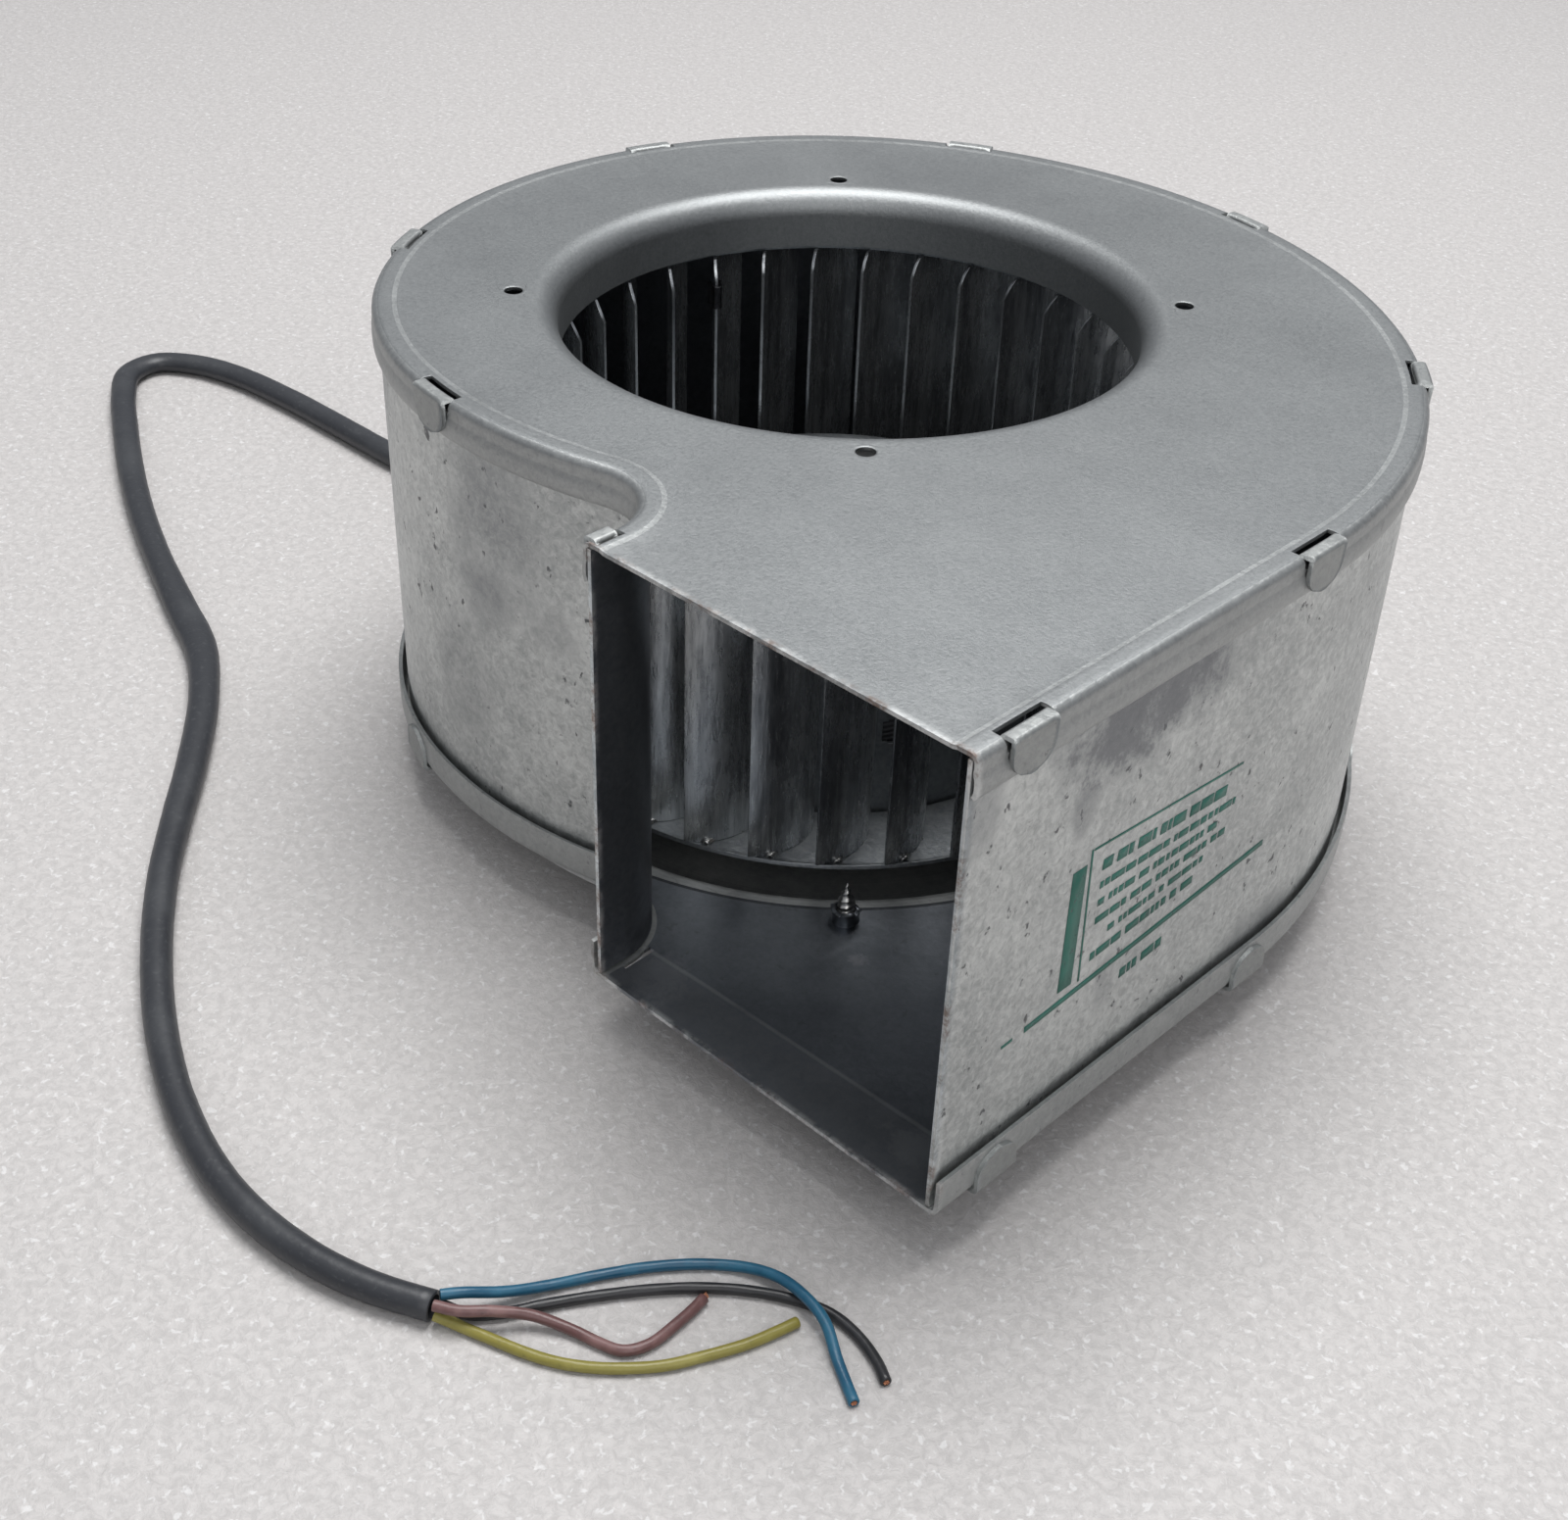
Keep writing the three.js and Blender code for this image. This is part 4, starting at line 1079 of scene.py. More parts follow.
def floorRelief(x, y):  # pressed line across the duct floor, and a shallow sag in front of it
    creaseX, creaseY, slope = backPlate["crease"]
    line = creaseY + slope * (x - creaseX)
    crease = 0.22 * (1 - smooth(0, 1.6, abs(y - line)))
    return crease * smooth(40, 46, x) * (1 - smooth(96, 99, x)) - 0.12 * smooth(-79, -88, y)


def addCollar(bm, at, face):
    rows = []
    for radius, rise, ragged in backPlate["collar"]:
        line = []
        for j in range(24):
            jag = random.uniform(-ragged, ragged)
            line.append((*polar(radius + 0.3 * jag, 2 * pi * j / 24, at), face + rise + jag))
        rows.append(line)
    addGrid(bm, rows, True)


def makeBackPlate():
    face = housing["baseZ"] + halfSheet
    bm = bmesh.new()
    outer = addRim(bm, backPlate, -1, baseTabs)
    # the rim takes the lighter copy of the zinc, painted light
    for rimFace in bm.faces:
        rimFace.material_index = 1
    opening = backPlate["opening"]
    before = set(bm.faces)
    addTurned(bm, [(opening, face), (opening + backPlate["lip"], face)], backPlate["around"])
    # the flat ring round the opening takes the near-black zinc, a painted shade line
    for lipFace in set(bm.faces) - before:
        lipFace.material_index = 2
    holes = [ringPoints(opening + backPlate["lip"], backPlate["around"])]
    random.seed(7)
    for at in placesRound(backPlate["screwCircle"], backPlate["screwStart"]):
        addCollar(bm, at, face)
        holes.append(ringPoints(backPlate["collar"][0][0], 24, at))
    met = rimKeys([outer, *holes])
    (x, y), width, length = backPlate["slit"]
    corners = ((-1, -1), (1, -1), (1, 1), (-1, 1))
    holes.append([(x + across * width / 2, y + ahead * length / 2) for across, ahead in corners])

    def height(px, py):
        level = (round(px, 3), round(py, 3)) in met or hypot(px, py) < opening + 3
        return face if level else face + floorRelief(px, py)

    # the flat floor keeps the first material, the zinc darkened with painted shade
    addFlat(bm, outer, holes, height, 3.2)
    bmesh.ops.remove_doubles(bm, verts=bm.verts, dist=0.03)
    looks = (("floorShadeZinc", floorShadeLook), ("rimLitZinc", rimLitLook), ("edgeShadeZinc", edgeShadeLook))
    newPiece(
        "backPlate", bm, "housing", [paintZinc(*look) for look in looks], ["back_plate"],
        thickness=housing["sheet"], bevel=0.09,
    )


makeBackPlate()
print("back plate made")

# The motor's mounting pan: turned sheet, bored for its screws and the lead.

motorPan = {
    "sheet": 0.8,
    # radius and height
    "profile": [(5.6, 3.6), (42.1, 3.6), (44.2, 0.43), (62.3, 0.43), (65.8, 9.3), (74.8, 9.3)],
    "bend": 1.5,
    "plateBore": 1.7,
    "flangeBore": 2.1,
    "flangeCircle": 28,
    "flangeStart": 45,
    "leadAt": (-64, 6, 4.7),
    "leadBore": 3.55,
    "leadDepth": 8,
}
plateScrewPlaces = placesRound(backPlate["screwCircle"], backPlate["screwStart"])
flangeScrewPlaces = placesRound(motorPan["flangeCircle"], motorPan["flangeStart"])


def paintPan():
    paint = Paint("panZinc")
    x, y, _ = paint.split()
    radius = ((x - fanX / 1000) ** 2 + (y - fanY / 1000) ** 2) ** 0.5
    rings = paint.noise(1, 3, 0.6, seat=paint.add("ShaderNodeCombineXYZ", {}, {0: radius * 2600}))
    grain = paint.noise(700, 5, 0.7)
    cloud = paint.noise(45, 3, 0.6)
    tone = (grain - 0.5) * 0.6 + (rings - 0.5) * 0.5 + (cloud - 0.5) * 0.6 + 0.5
    colour = paint.mix(paint.between(tone, 0.1, 0.9), (0.22, 0.23, 0.235), (0.5, 0.51, 0.5))
    scuff = paint.between(paint.noise(120, 4, 0.7, (1, 5, 1)), 0.6, 0.72)
    colour = paint.mix(scuff * 0.5, colour, (0.12, 0.12, 0.125))
    rough = grain * 0.2 + 0.36
    bump = paint.bump(grain * 0.6 + rings * 0.4, 0.3, 0.0003)
    return paint.done({"Base Color": colour, "Metallic": 0.45, "Roughness": rough, "Normal": bump})


def bore(piece, holes):  # cuts round holes through a piece: (centre, axis, radius, length) in millimetres
    bm = bmesh.new()
    for centre, axis, radius, length in holes:
        turn = Vector(axis).to_track_quat("Z", "Y").to_matrix().to_4x4()
        bmesh.ops.create_cone(
            bm, cap_ends=True, segments=40, radius1=radius / 1000, radius2=radius / 1000, depth=length / 1000,
            matrix=Matrix.Translation(row(centre)) @ turn,
        )
    data = bpy.data.meshes.new("cutter")
    bm.to_mesh(data)
    bm.free()
    cutter = bpy.data.objects.new("cutter", data)
    bpy.context.scene.collection.objects.link(cutter)
    step = piece.modifiers.new("bore", "BOOLEAN")
    step.object = cutter
    step.operation = "DIFFERENCE"
    step.solver = "EXACT"
    bpy.context.view_layer.update()
    made = bpy.data.meshes.new_from_object(piece.evaluated_get(bpy.context.evaluated_depsgraph_get()))
    piece.modifiers.clear()
    piece.data = made
    made.shade_smooth()
    made.set_sharp_from_angle(angle=radians(sharpAngle))
    bpy.data.objects.remove(cutter)


def makeMotorPan():
    bm = bmesh.new()
    addTurned(bm, rounded(motorPan["profile"], motorPan["bend"], 5), 144)
    piece = newPiece(
        "motorPan", bm, "housing", paintPan(), ["motor_plate"], thickness=motorPan["sheet"]
    )
    upward = (0, 0, 1)
    floorZ = motorPan["profile"][0][1]
    flangeZ = motorPan["profile"][-1][1]
    holes = [((*at, flangeZ), upward, motorPan["plateBore"], 4) for at in plateScrewPlaces]
    holes += [((*at, floorZ), upward, motorPan["flangeBore"], 4) for at in flangeScrewPlaces]
    holes.append((motorPan["leadAt"], (1, 0, 0), motorPan["leadBore"], motorPan["leadDepth"]))
    bore(piece, holes)


makeMotorPan()

# Grommet on the sleeve's own line: a groove for the pan's wall, then a tapered and ribbed neck.

grommet = {
    "around": 40,
    # distance from the route's start and radius
    "profile": [
        (14.2, 2.75), (14.2, 3.8), (14.6, 4.05), (15.4, 4.05), (15.8, 3.8), (15.8, 3.35), (19.3, 3.35),
        (19.3, 3.8), (19.7, 4.0), (20.6, 4.0), (21.0, 3.7), (22.0, 3.6), (22.4, 3.35), (23.2, 3.35),
        (23.5, 3.5), (24.4, 3.45), (24.8, 3.15), (25.6, 3.15), (25.9, 3.3), (26.8, 3.2), (27.3, 2.95),
        (27.5, 2.72),
    ],
}


def paintRubber():
    paint = Paint("grommetRubber")
    dust = paint.between(paint.noise(90, 3, 0.6), 0.5, 0.75)
    colour = paint.mix(dust * 0.6, (0.014, 0.014, 0.015), (0.06, 0.06, 0.058))
    bump = paint.bump(paint.noise(900, 4, 0.65), 0.35, 0.0004)
    return paint.done({"Base Color": colour, "Roughness": dust * 0.15 + 0.62, "Normal": bump})


def makeGrommet():
    spacing = 0.1
    sampled, _ = curvePoints(sleeve["route"][:6], spacing)
    path = [point for point, _ in sampled]
    angles = [2 * pi * j / grommet["around"] for j in range(grommet["around"])]
    bm = bmesh.new()
    lines = []
    for distance, radius in grommet["profile"]:
        i = round(distance / spacing)
        _, side, up = tubeFrame(path, i)
        lines.append([path[i] + (side * cos(a) + up * sin(a)) * radius for a in angles])
    addGrid(bm, lines, True)
    newPiece("cableGrommet", bm, "housing", paintRubber(), ["cable_grommet"], sharp=50)


makeGrommet()
print("motor pan and grommet made")

# Screws: hexagon washer heads under the pan with points through the collars, and recessed heads on the motor.

plateScrew = {
    "around": 36,
    "bottom": 5.2,
    "middle": [(onAxis, 0.5), (1.5, 0.45), (1.9, 0), (2.4, 0)],  # radius, height above the bottom
    "hexagon": 2.75,
    "washer": [(3.5, -0.1), (3.95, 0), (4.1, 0.3), (4.1, 0.8)],  # radius, height from the washer's lower face
    "washerZ": 7.8,
    "seatZ": 8.6,
    "core": 1.15,
    "thread": 0.34,
    "pitch": 1.25,
    "taperZ": 14.6,
    "tipZ": 18.4,
    "steps": 70,
}
flangeScrew = {
    "around": 72,
    "rings": [onAxis, 0.2, 0.4, 0.55, 0.75, 1.0, 1.25, 1.5, 1.62, 1.75, 2.1, 2.5, 2.9, 3.2, 3.42, 3.5],
    "low": 0.9,
    "dome": 0.9,
    "crossHalf": 0.42,
    "crossReach": 1.7,
    "crossDepth": 1.1,
    "under": [(3.5, 2.9), (1.7, 2.9), (1.7, 7.0), (1.3, 7.4)],  # radius and height, from the head to the tip
}


def paintBright(name, dark, light, rough, rustShare=0.0):
    paint = Paint(name)
    grain = paint.noise(1400, 4, 0.7)
    cloud = paint.noise(160, 4, 0.65)
    colour = paint.mix(paint.between(grain * 0.5 + cloud * 0.5, 0.36, 0.64), dark, light)
    stain = paint.between(paint.noise(380, 4, 0.7), 0.58, 0.7) * rustShare
    colour = paint.mix(stain, colour, (0.14, 0.075, 0.045))
    bump = paint.bump(grain, 0.25, 0.0002)
    rough = cloud * 0.2 + rough + stain * 0.3
    return paint.done({"Base Color": colour, "Metallic": 1 - stain * 0.8, "Roughness": rough, "Normal": bump})


screwSteel = paintBright("screwSteel", (0.34, 0.34, 0.33), (0.68, 0.67, 0.64), 0.18, 0.5)


def threadRadius(z, share):  # of the tapping screw, at a height and a share of a turn
    s = plateScrew
    left = 1 - max(0, (z - s["taperZ"]) / (s["tipZ"] - s["taperZ"])) ** 1.2
    phase = ((z - s["seatZ"]) / s["pitch"] - share) % 1
    crest = max(0, 1 - abs(phase - 0.5) / 0.32) * smooth(0, 1.2, z - s["seatZ"]) * (0.25 + 0.75 * left)
    return max(0.02, s["core"] * left + s["thread"] * crest * (left > 0.03))


def makePlateScrew(index, at):
    s = plateScrew
    count = s["around"]
    angles = [2 * pi * j / count for j in range(count)]
    lines = [levelRing(radius, s["bottom"] + rise, count, at) for radius, rise in s["middle"]]
    for scale, z in ((0.94, s["bottom"] + 0.08), (1, s["bottom"] + 0.45), (1, s["washerZ"])):
        across = [s["hexagon"] * scale / cos((a + pi / 6) % (pi / 3) - pi / 6) for a in angles]
        lines.append([(*polar(radius, a, at), z) for radius, a in zip(across, angles)])
    lines += [levelRing(radius, s["washerZ"] + rise, count, at) for radius, rise in s["washer"]]
    for k in range(s["steps"] + 1):
        z = s["seatZ"] + (s["tipZ"] - s["seatZ"]) * k / s["steps"]
        lines.append([(*polar(threadRadius(z, j / count), angles[j], at), z) for j in range(count)])
    bm = bmesh.new()
    made = addGrid(bm, lines, True)
    bmesh.ops.pointmerge(bm, verts=made[0], merge_co=(*at, s["bottom"] + s["middle"][0][1]))
    bmesh.ops.pointmerge(bm, verts=made[-1], merge_co=(*at, s["tipZ"]))
    node = f"plate_screw_{index}"
    newPiece(f"plateScrew{index}", bm, "housing", screwSteel, [node], sharp=50)


def turnedBy(point, angle):  # a point turned about the origin
    return point[0] * cos(angle) - point[1] * sin(angle), point[0] * sin(angle) + point[1] * cos(angle)


def makeFlangeScrew(index, at):  # each screw's cross recess points its own way
    s = flangeScrew
    lines = []
    for radius in s["rings"]:
        line = []
        for x, y in ringPoints(radius, s["around"]):
            cut = radius < s["crossReach"] and min(abs(x), abs(y)) < s["crossHalf"]
            z = s["low"] + s["dome"] * (radius / s["rings"][-1]) ** 3.2 + cut * s["crossDepth"]
            across, ahead = turnedBy((x, y), index)
            line.append((at[0] + across, at[1] + ahead, z))
        lines.append(line)
    lines += [levelRing(radius, z, s["around"], at) for radius, z in s["under"]]
    bm = bmesh.new()
    made = addGrid(bm, lines, True)
    bm.faces.new(made[-1])
    node = f"flange_screw_{index}"
    newPiece(f"flangeScrew{index}", bm, "housing", screwSteel, [node], sharp=40)


for index, at in enumerate(plateScrewPlaces, 1):
    makePlateScrew(index, at)
for index, at in enumerate(flangeScrewPlaces, 1):
    makeFlangeScrew(index, at)
print("screws made")

# The impeller: a disc and a front ring joined by forward-curved blades whose lugs are curled over.

wheel = {
    "outer": 60.0,
    "inner": 49.5,
    "blades": 32,
    "firstTip": -49.1,
    "lag": 9.9,  # angle from a blade's tip to its root
    "curve": 12.2,
    "low": 11.85,
    "high": 76.55,
    "discZ": 11.4,
    "ringZ": 77.0,
    "shoulder": (51.6, 72.8),  # the inner top corner is cut back to this radius from this height
    "bladeSheet": 0.6,
}


def paintWheel(name, dark, light, rough, stretch, streaks):
    paint = Paint(name)
    grain = paint.noise(950, 5, 0.72, stretch, 0.4)
    streak = paint.noise(330, 4, 0.7, (1, 1, 0.07))
    cloud = paint.noise(60, 4, 0.6)
    tone = (grain - 0.5) * 0.7 + (streak - 0.5) * streaks + (cloud - 0.5) * 0.5 + 0.5
    colour = paint.mix(paint.between(tone, 0.15, 0.85), dark, light)
    pits = paint.between(paint.noise(800, 3, 0.6), 0.66, 0.74)
    colour = paint.mix(pits * 0.2, colour, (0.05, 0.05, 0.055))
    bump = paint.bump(grain * 0.6 + streak * 0.4, 0.35, 0.0004)
    rough = grain * 0.14 + cloud * 0.14 + rough
    return paint.done({"Base Color": colour, "Metallic": 0.9, "Roughness": rough, "Normal": bump})


bladeZinc = paintWheel("bladeZinc", (0.2, 0.21, 0.225), (0.66, 0.68, 0.69), 0.13, (1, 1, 0.2), 1.1)
wheelZinc = paintWheel("wheelZinc", (0.15, 0.16, 0.175), (0.36, 0.38, 0.39), 0.28, (1, 1, 1), 0.1)


def bladeLine(steps):  # middle line of a blade whose tip is at angle 0, tip first
    tip = Vector((wheel["outer"] - 0.3, 0))
    root = Vector(polar(wheel["inner"], radians(wheel["lag"])))
    chord = root - tip
    drop = sqrt(wheel["curve"] ** 2 - (chord.length / 2) ** 2)
    centre = (tip + root) / 2 - Vector((chord.y, -chord.x)).normalized() * drop
    first = atan2(tip.y - centre.y, tip.x - centre.x)
    last = atan2(root.y - centre.y, root.x - centre.x)
    angles = [first + (last - first) * k / steps for k in range(steps + 1)]
    return [Vector(polar(wheel["curve"], a, centre)) for a in angles]


def tipAngle(index):
    return radians(wheel["firstTip"] + 360 * index / wheel["blades"])


def makeBlades():
    middle = bladeLine(12)
    cutRadius, cutZ = wheel["shoulder"]
    low, high = wheel["low"], wheel["high"]
    levels = 8
    bm = bmesh.new()
    for i in range(wheel["blades"]):
        rows = []
        for k in range(levels + 1):
            line = []
            for point in middle:
                top = high
                reach = hypot(*point)
                if reach < cutRadius:
                    top = cutZ + (high - cutZ) * (reach - wheel["inner"]) / (cutRadius - wheel["inner"])
                line.append((*turnedBy(point, tipAngle(i)), low + (top - low) * k / levels))
            rows.append(line)
        addGrid(bm, rows)
    newPiece(
        "impellerBlades", bm, "rotor", bladeZinc, ["impeller_blades"],
        thickness=wheel["bladeSheet"], bevel=0.08, sharp=50,
    )


# The blades' lugs come through the disc and the ring, and their ends are curled down on the sheet.

lugs = {  # height, and each curl's radius, degrees behind the tip and reach
    "discLugs": (wheel["discZ"] + 0.4, [(57.9, 3.9, 0.5), (52.6, 8.2, 0.42)]),
    "ringLugs": (wheel["ringZ"] + 0.3, [(57.9, 3.9, 0.3), (54.2, 8.2, 0.3)]),
}
# raised line between a blade's lugs on the disc: radius and degrees behind the tip at its ends; its section
seam = {"from": (57.2, 4.6), "to": (53.2, 7.6), "half": 0.22, "low": -0.05, "high": 0.28}


def addCurl(bm, radius, angle, height, reach, length=2.6):
    rows = []
    for k in range(8):
        a = pi * k / 7
        forward = reach * (1 - cos(a))
        rise = reach * 1.15 * sin(a)
        line = []
        for j in range(5):
            aside = (j / 4 - 0.5) * length
            turn = (forward - 0.3 * aside - reach) / radius
            line.append((*polar(radius + aside * 0.9, angle + turn), height + rise))
        rows.append(line)
    addGrid(bm, rows)


def addSeam(bm, tip, height):
    a, b = (Vector(polar(radius, tip + radians(behind))) for radius, behind in (seam["from"], seam["to"]))
    side = Vector((a.y - b.y, b.x - a.x)).normalized() * seam["half"]
    rows = []
    for k in range(7):
        mid = a.lerp(b, k / 6)
        edges = [(*(mid + side), height + seam["low"]), (*(mid - side), height + seam["low"])]
        rows.append([edges[0], (*mid, height + seam["high"]), edges[1]])
    addGrid(bm, rows)


def makeLugs():
    for name, (height, curls) in lugs.items():
        bm = bmesh.new()
        for i in range(wheel["blades"]):
            for radius, behind, reach in curls:
                addCurl(bm, radius, tipAngle(i) + radians(behind), height, reach)
            if name == "discLugs":
                addSeam(bm, tipAngle(i), height)
        newPiece(name, bm, "rotor", screwSteel, thickness=0.35, sharp=60)


discs = {  # node, middle height, sheet, and profile of (radius, rise)
    "impellerDisc": (
        "impeller_disc", wheel["discZ"], 0.8,
        [(44.6, 0), (45.6, 0), (50, 0), (55, 0), (58.8, 0), (59.5, 0.05), (59.9, 0.2)],
    ),
    "impellerFrontRing": (
        "impeller_front_ring", wheel["ringZ"], 0.7,
        [(52.7, -0.1), (53.2, 0), (56.5, 0), (59.5, 0), (60.0, -0.15)],
    ),
}


def makeDiscs():
    for name, (node, z, sheet, profile) in discs.items():
        bm = bmesh.new()
        addTurned(bm, [(radius, z + rise) for radius, rise in profile], 192)
        newPiece(name, bm, "rotor", wheelZinc, [node], thickness=sheet, bevel=0.12)


# Rotor cup: drawn steel with two rows of windows round its wall, and a flange that carries the disc.

rotorCup = {
    "radius": 43.6,
    "low": 10.3,
    "high": 42.6,
    "corner": 4.6,
    "foot": 1.2,
    "flange": [46.5, 48.5],
    # radius and drop of the rings on its top
    "top": [
        (onAxis, 0.4), (6, 0.4), (8.5, 0.35), (9.4, 0), (14, 0), (15, 0.35), (24, 0.4), (33, 0.35), (34.5, 0),
    ],
    "columns": 27,
    "windows": [25.8, 33.2],  # lower edges
    "windowHigh": 5.0,
    "windowEnd": 0.4,
    "levels": [22, 18, 14],
}


def cupProfile():
    c = rotorCup
    profile = [(radius, c["high"] - drop) for radius, drop in c["top"]]
    for k in range(8):
        a = radians(90 - 90 * k / 7)
        profile.append((c["radius"] - c["corner"] * (1 - cos(a)), c["high"] - c["corner"] * (1 - sin(a))))
    for low in reversed(c["windows"]):
        high = low + c["windowHigh"]
        levels = (high, high - c["windowEnd"], low + c["windowHigh"] / 2, low + c["windowEnd"], low)
        profile += [(c["radius"], z) for z in levels if z < c["high"] - c["corner"]]
    profile += [(c["radius"], z) for z in (*c["levels"], c["low"] + c["foot"])]
    for k in range(1, 5):
        a = radians(22.5 * k)
        profile.append((c["radius"] + c["foot"] * (1 - cos(a)), c["low"] + c["foot"] * (1 - sin(a))))
    return profile + [(radius, c["low"]) for radius in c["flange"]]


def makeRotorCup():
    c = rotorCup
    profile = cupProfile()
    count = c["columns"] * 10
    start = radians(180 / c["columns"])

    def skip(i, j):  # windows with narrower ends, four and two columns of faces wide
        (r0, z0), (r1, z1) = profile[i], profile[i + 1]
        if max(abs(r0 - c["radius"]), abs(r1 - c["radius"])) > 0.01:
            return False
        for low in c["windows"]:
            inner = (z0 + z1) / 2 - low
            if 0 < inner < c["windowHigh"]:
                end = not c["windowEnd"] <= inner <= c["windowHigh"] - c["windowEnd"]
                return j % 10 in ((4, 5) if end else (3, 4, 5, 6))
        return False

    bm = bmesh.new()
    lines = [[(*polar(r, start + 2 * pi * (j - 5) / count), z) for j in range(count)] for r, z in profile]
    made = addGrid(bm, lines, True, skip)
    bmesh.ops.pointmerge(bm, verts=made[0], merge_co=(0, 0, profile[0][1]))
    newPiece("rotorCup", bm, "rotor", wheelZinc, ["rotor_cup"], thickness=0.8, bevel=0.1)


rivet = {
    "circle": 46.6,
    "start": 20,
    # radius and height, from the round head below to the flattened end above
    "profile": [
        (onAxis, 8.8), (0.8, 8.84), (1.5, 9.0), (1.9, 9.35), (2.0, 9.75), (1.3, 9.8), (1.3, 11.85),
        (2.0, 11.9), (1.95, 12.3), (1.6, 12.75), (0.9, 12.95), (onAxis, 13.0),
    ],
}


def makeRivets():
    for i, at in enumerate(placesRound(rivet["circle"], rivet["start"]), 1):
        bm = bmesh.new()
        addTurned(bm, rivet["profile"], 28, at)
        newPiece(f"discRivet{i}", bm, "rotor", screwSteel, [f"disc_rivet_{i}"], sharp=50)


balanceClip = {
    "blade": 18,
    "lean": 5,  # degrees
    "low": 67.75,
    "high": 72.25,
    "pinch": 0.12,
    "sheet": 0.55,
    # its bend round the blade's inner edge, seen from above
    "bend": [
        (2.3, -1.15), (1.7, -0.78), (-0.4, -0.72), (-0.85, -0.45), (-0.95, 0),
        (-0.85, 0.45), (-0.4, 0.72), (1.7, 0.78), (2.3, 1.15),
    ],
}


def makeBalanceClip():
    clip = balanceClip
    tip = tipAngle(clip["blade"])
    root = Vector(polar(wheel["inner"], tip + radians(wheel["lag"])))
    bm = bmesh.new()
    rows = []
    for k in range(9):
        z = clip["low"] + (clip["high"] - clip["low"]) * k / 8
        waist = 1 - clip["pinch"] * sin(pi * k / 8)
        bent = [Vector(turnedBy((x, y * waist), tip - radians(clip["lean"]))) for x, y in clip["bend"]]
        rows.append([(*(root + point), z) for point in bent])
    addGrid(bm, rows)
    steel = paintBright("clipSteel", (0.018, 0.018, 0.02), (0.06, 0.06, 0.065), 0.3, 0.2)
    newPiece(
        "balanceClip", bm, "rotor", steel, ["balance_clip"],
        thickness=clip["sheet"], bevel=0.08,
    )


makeBlades()
makeLugs()
makeDiscs()
makeRotorCup()
makeRivets()
makeBalanceClip()
print("impeller and rotor made")

# Green data print on the flat side: rules, bars and dashes with no wording.

sidePrint = {
    "proud": 0.04,
    # each line: y and z of its ends, width
    "lines": [
        ((-71.4, 33.2), (-13.6, 35.9), 1.1), ((-76.4, 33.0), (-74.0, 33.1), 0.55),
        ((-60.1, 58.9), (-24.1, 56.0), 0.4), ((-60.5, 59.1), (-59.6, 35.1), 0.4),
        ((-62.9, 57.0), (-62.9, 35.7), 3.1),
    ],
    # rows of dashes: z, first y, last y, height
    "rows": [
        (54.9, -57.5, -27.0, 1.9), (51.3, -57.5, -24.5, 1.2), (48.1, -57.5, -28.0, 1.2),
        (44.9, -57.5, -26.0, 1.2), (41.7, -54.0, -31.0, 1.1), (38.3, -57.5, -33.0, 1.4),
        (30.2, -49.0, -38.5, 1.7),
    ],
    "dashes": (0.8, 1.1, 1.5, 2.3, 3.1),
    "gaps": (0.35, 0.35, 0.5, 1.1),
}


def paintPrint():
    paint = Paint("greenPrint")
    worn = paint.between(paint.noise(620, 4, 0.75), 0.56, 0.7)
    thin = paint.noise(60, 3, 0.6)
    colour = paint.mix(paint.between(thin, 0.35, 0.65), (0.018, 0.115, 0.085), (0.035, 0.17, 0.13))
    colour = paint.mix(worn * 0.6, colour, (0.3, 0.36, 0.35))
    return paint.done({"Base Color": colour, "Roughness": worn * 0.2 + 0.45, "Alpha": 1 - worn * 0.65})


def makeSidePrint():
    bm = bmesh.new()
    face = housing["flatX"] + sidePrint["proud"] / 2 + 0.02

    def addMark(start, stop, width):
        a, b = Vector(start), Vector(stop)
        side = Vector((a.y - b.y, b.x - a.x)).normalized() * width / 2
        steps = max(2, ceil((b - a).length / 4))
        rows = []
        for k in range(steps + 1):
            mid = a.lerp(b, k / steps)
            rows.append([(face, *(mid + side)), (face, *(mid - side))])
        addGrid(bm, rows)

    for start, stop, width in sidePrint["lines"]:
        addMark(start, stop, width)
    random.seed(11)
    for z, first, last, high in sidePrint["rows"]:
        y = first
        tilt = 0.047 - 0.12 * smooth(34, 57, z)  # the lowest rows rise with the base, the upper ones fall
        while y < last - 0.4:
            stop = min(y + random.choice(sidePrint["dashes"]), last)
            addMark((y, z + tilt * (y - first)), (stop, z + tilt * (stop - first)), high)
            y = stop + random.choice(sidePrint["gaps"])
    newPiece("sidePrint", bm, "housing", paintPrint(), thickness=sidePrint["proud"])


makeSidePrint()
print("side print made")

# Finishes of the inner parts that keep their CAD shape.


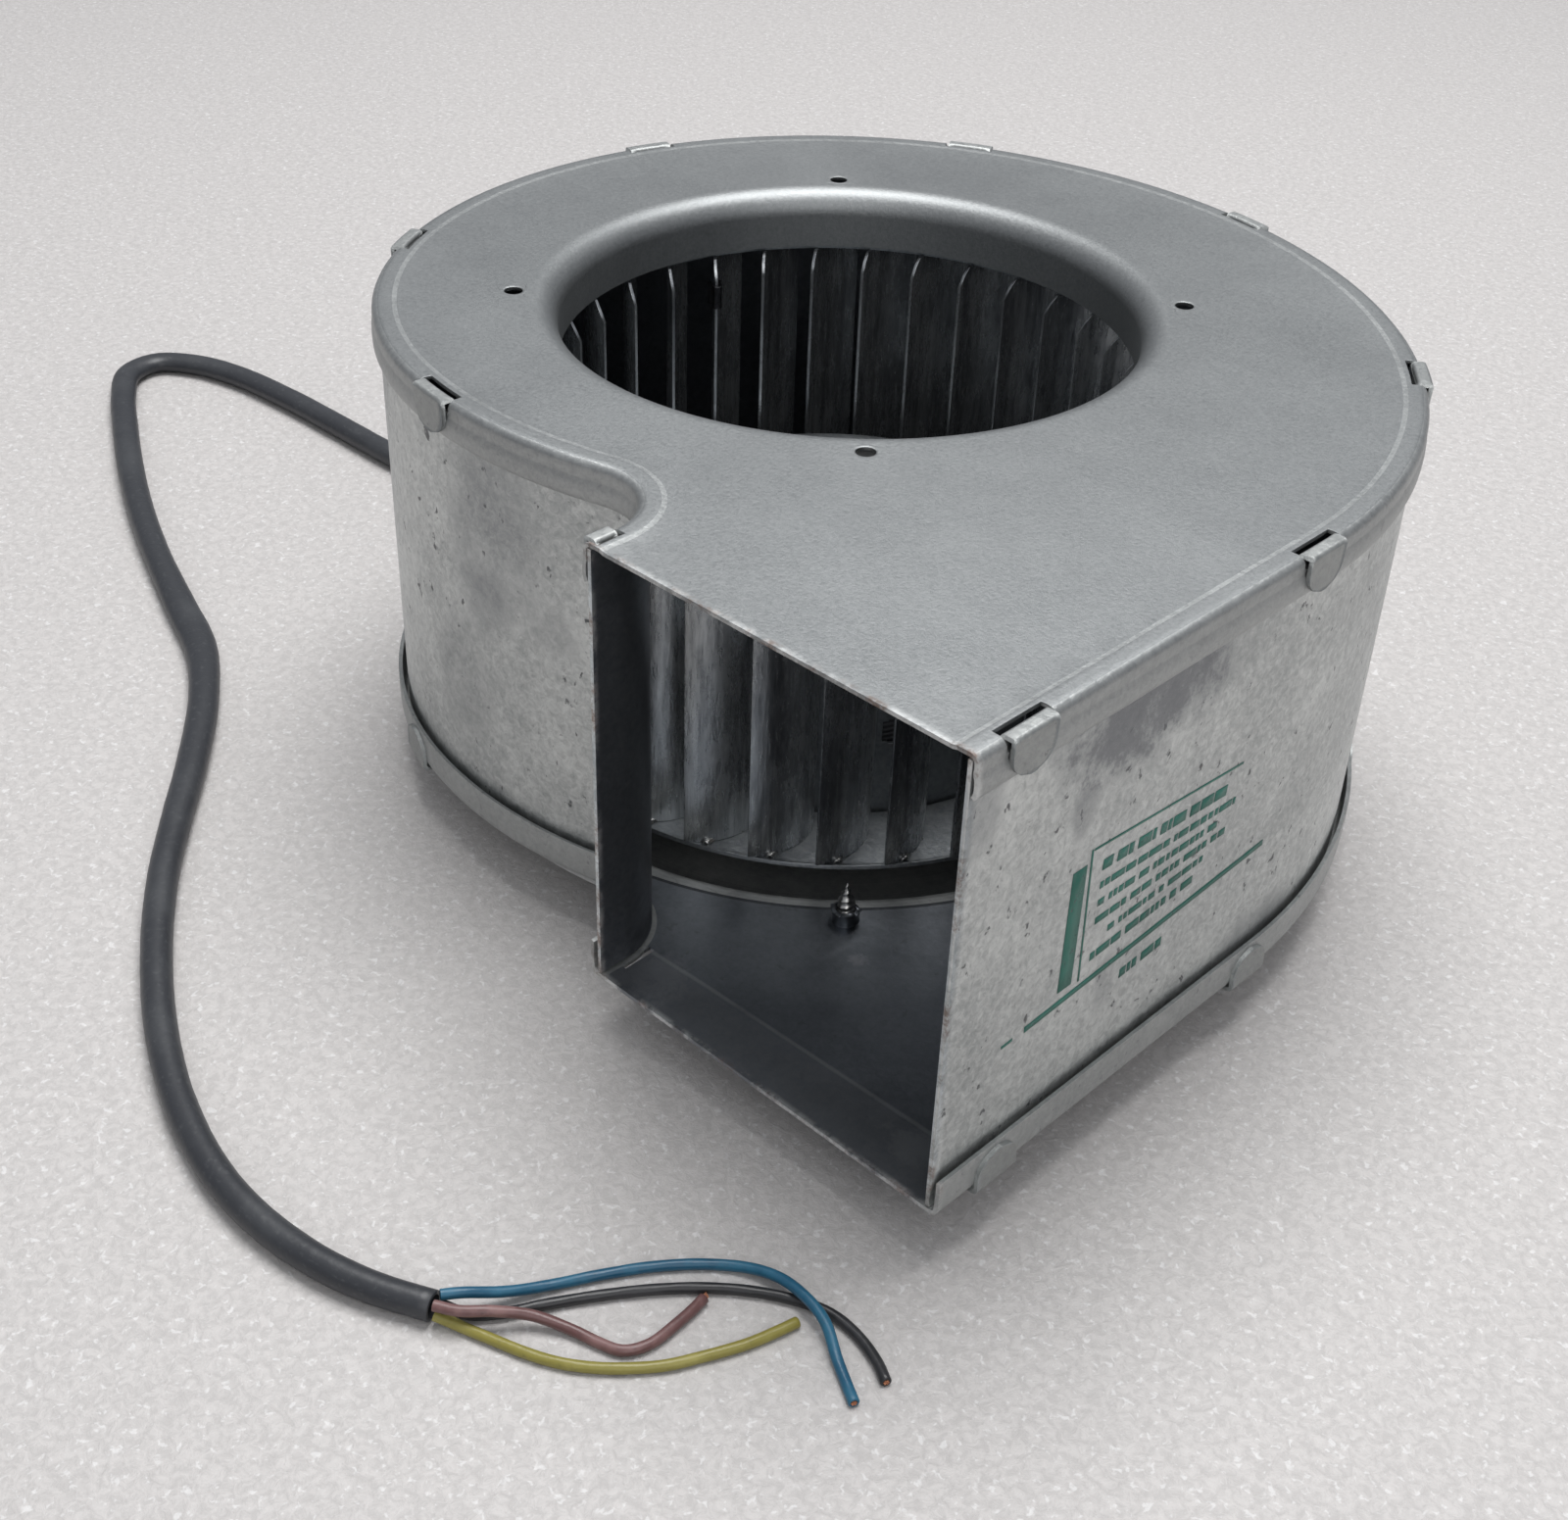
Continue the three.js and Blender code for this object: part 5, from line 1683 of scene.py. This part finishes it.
def paintInner(name, dark, light, rough, metal, lines=0, speck=0.3):
    paint = Paint(name)
    grain = paint.noise(800, 4, 0.7)
    cloud = paint.noise(110, 4, 0.6)
    tone = (grain - 0.5) * 0.6 + (cloud - 0.5) * 0.6 + 0.5
    height = grain * 0.5
    if lines:
        settings = {"wave_type": "BANDS", "bands_direction": "Z", "wave_profile": "SIN"}
        sockets = {"Vector": paint.place, "Scale": lines, "Distortion": 1.5, "Detail": 2.0}
        sockets["Detail Scale"] = 1.5
        wave = paint.add("ShaderNodeTexWave", settings, sockets, "Fac")
        tone = tone * 0.6 + wave * 0.4
        height = height + wave
    colour = paint.mix(paint.between(tone, 0.15, 0.85), dark, light)
    grime = paint.between(paint.noise(300, 4, 0.7), 0.6, 0.75)
    colour = paint.mix(grime * speck, colour, (0.04, 0.038, 0.035))
    rough = cloud * 0.2 + rough
    bump = paint.bump(height, 0.4, 0.0003)
    return paint.done({"Base Color": colour, "Metallic": metal, "Roughness": rough, "Normal": bump})


def paintInnerParts():
    cast = paintInner("castAluminium", (0.3, 0.3, 0.3), (0.52, 0.52, 0.51), 0.38, 0.9)
    lamination = paintInner("lamination", (0.05, 0.05, 0.055), (0.2, 0.2, 0.21), 0.4, 0.8, 320)
    winding = paintInner("enamelledCopper", (0.2, 0.06, 0.02), (0.62, 0.24, 0.09), 0.25, 0.75, 500)
    nylon = paintInner("nylon", (0.5, 0.47, 0.38), (0.72, 0.69, 0.6), 0.45, 0)
    race = paintInner("bearingSteel", (0.4, 0.4, 0.4), (0.66, 0.66, 0.65), 0.16, 1, speck=0.15)
    spring = paintInner("springSteel", (0.07, 0.07, 0.08), (0.2, 0.2, 0.21), 0.35, 0.9)
    rings = []
    for place in ("lower", "upper"):
        rings += [f"bearing_{place}_{ring}" for ring in ("outer_ring", "ball_cage", "inner_ring")]
    finishes = [
        (cast, ["stator_flange", "rotor_ring_lower", "rotor_ring_upper"]),
        (lamination, ["stator_core", "rotor_core"]),
        (nylon, ["insulator_lower", "insulator_upper", "thermal_cutout"]),
        (winding, ["main_coil_1", "main_coil_2", "start_coil_1", "start_coil_2"]),
        (race, ["shaft", *rings]),
        (spring, ["shaft_circlip", "preload_washer"]),
    ]
    for material, nodes in finishes:
        for node in nodes:
            for seat in bpy.data.objects[node].material_slots:
                seat.material = material


paintInnerParts()
print("inner parts painted")
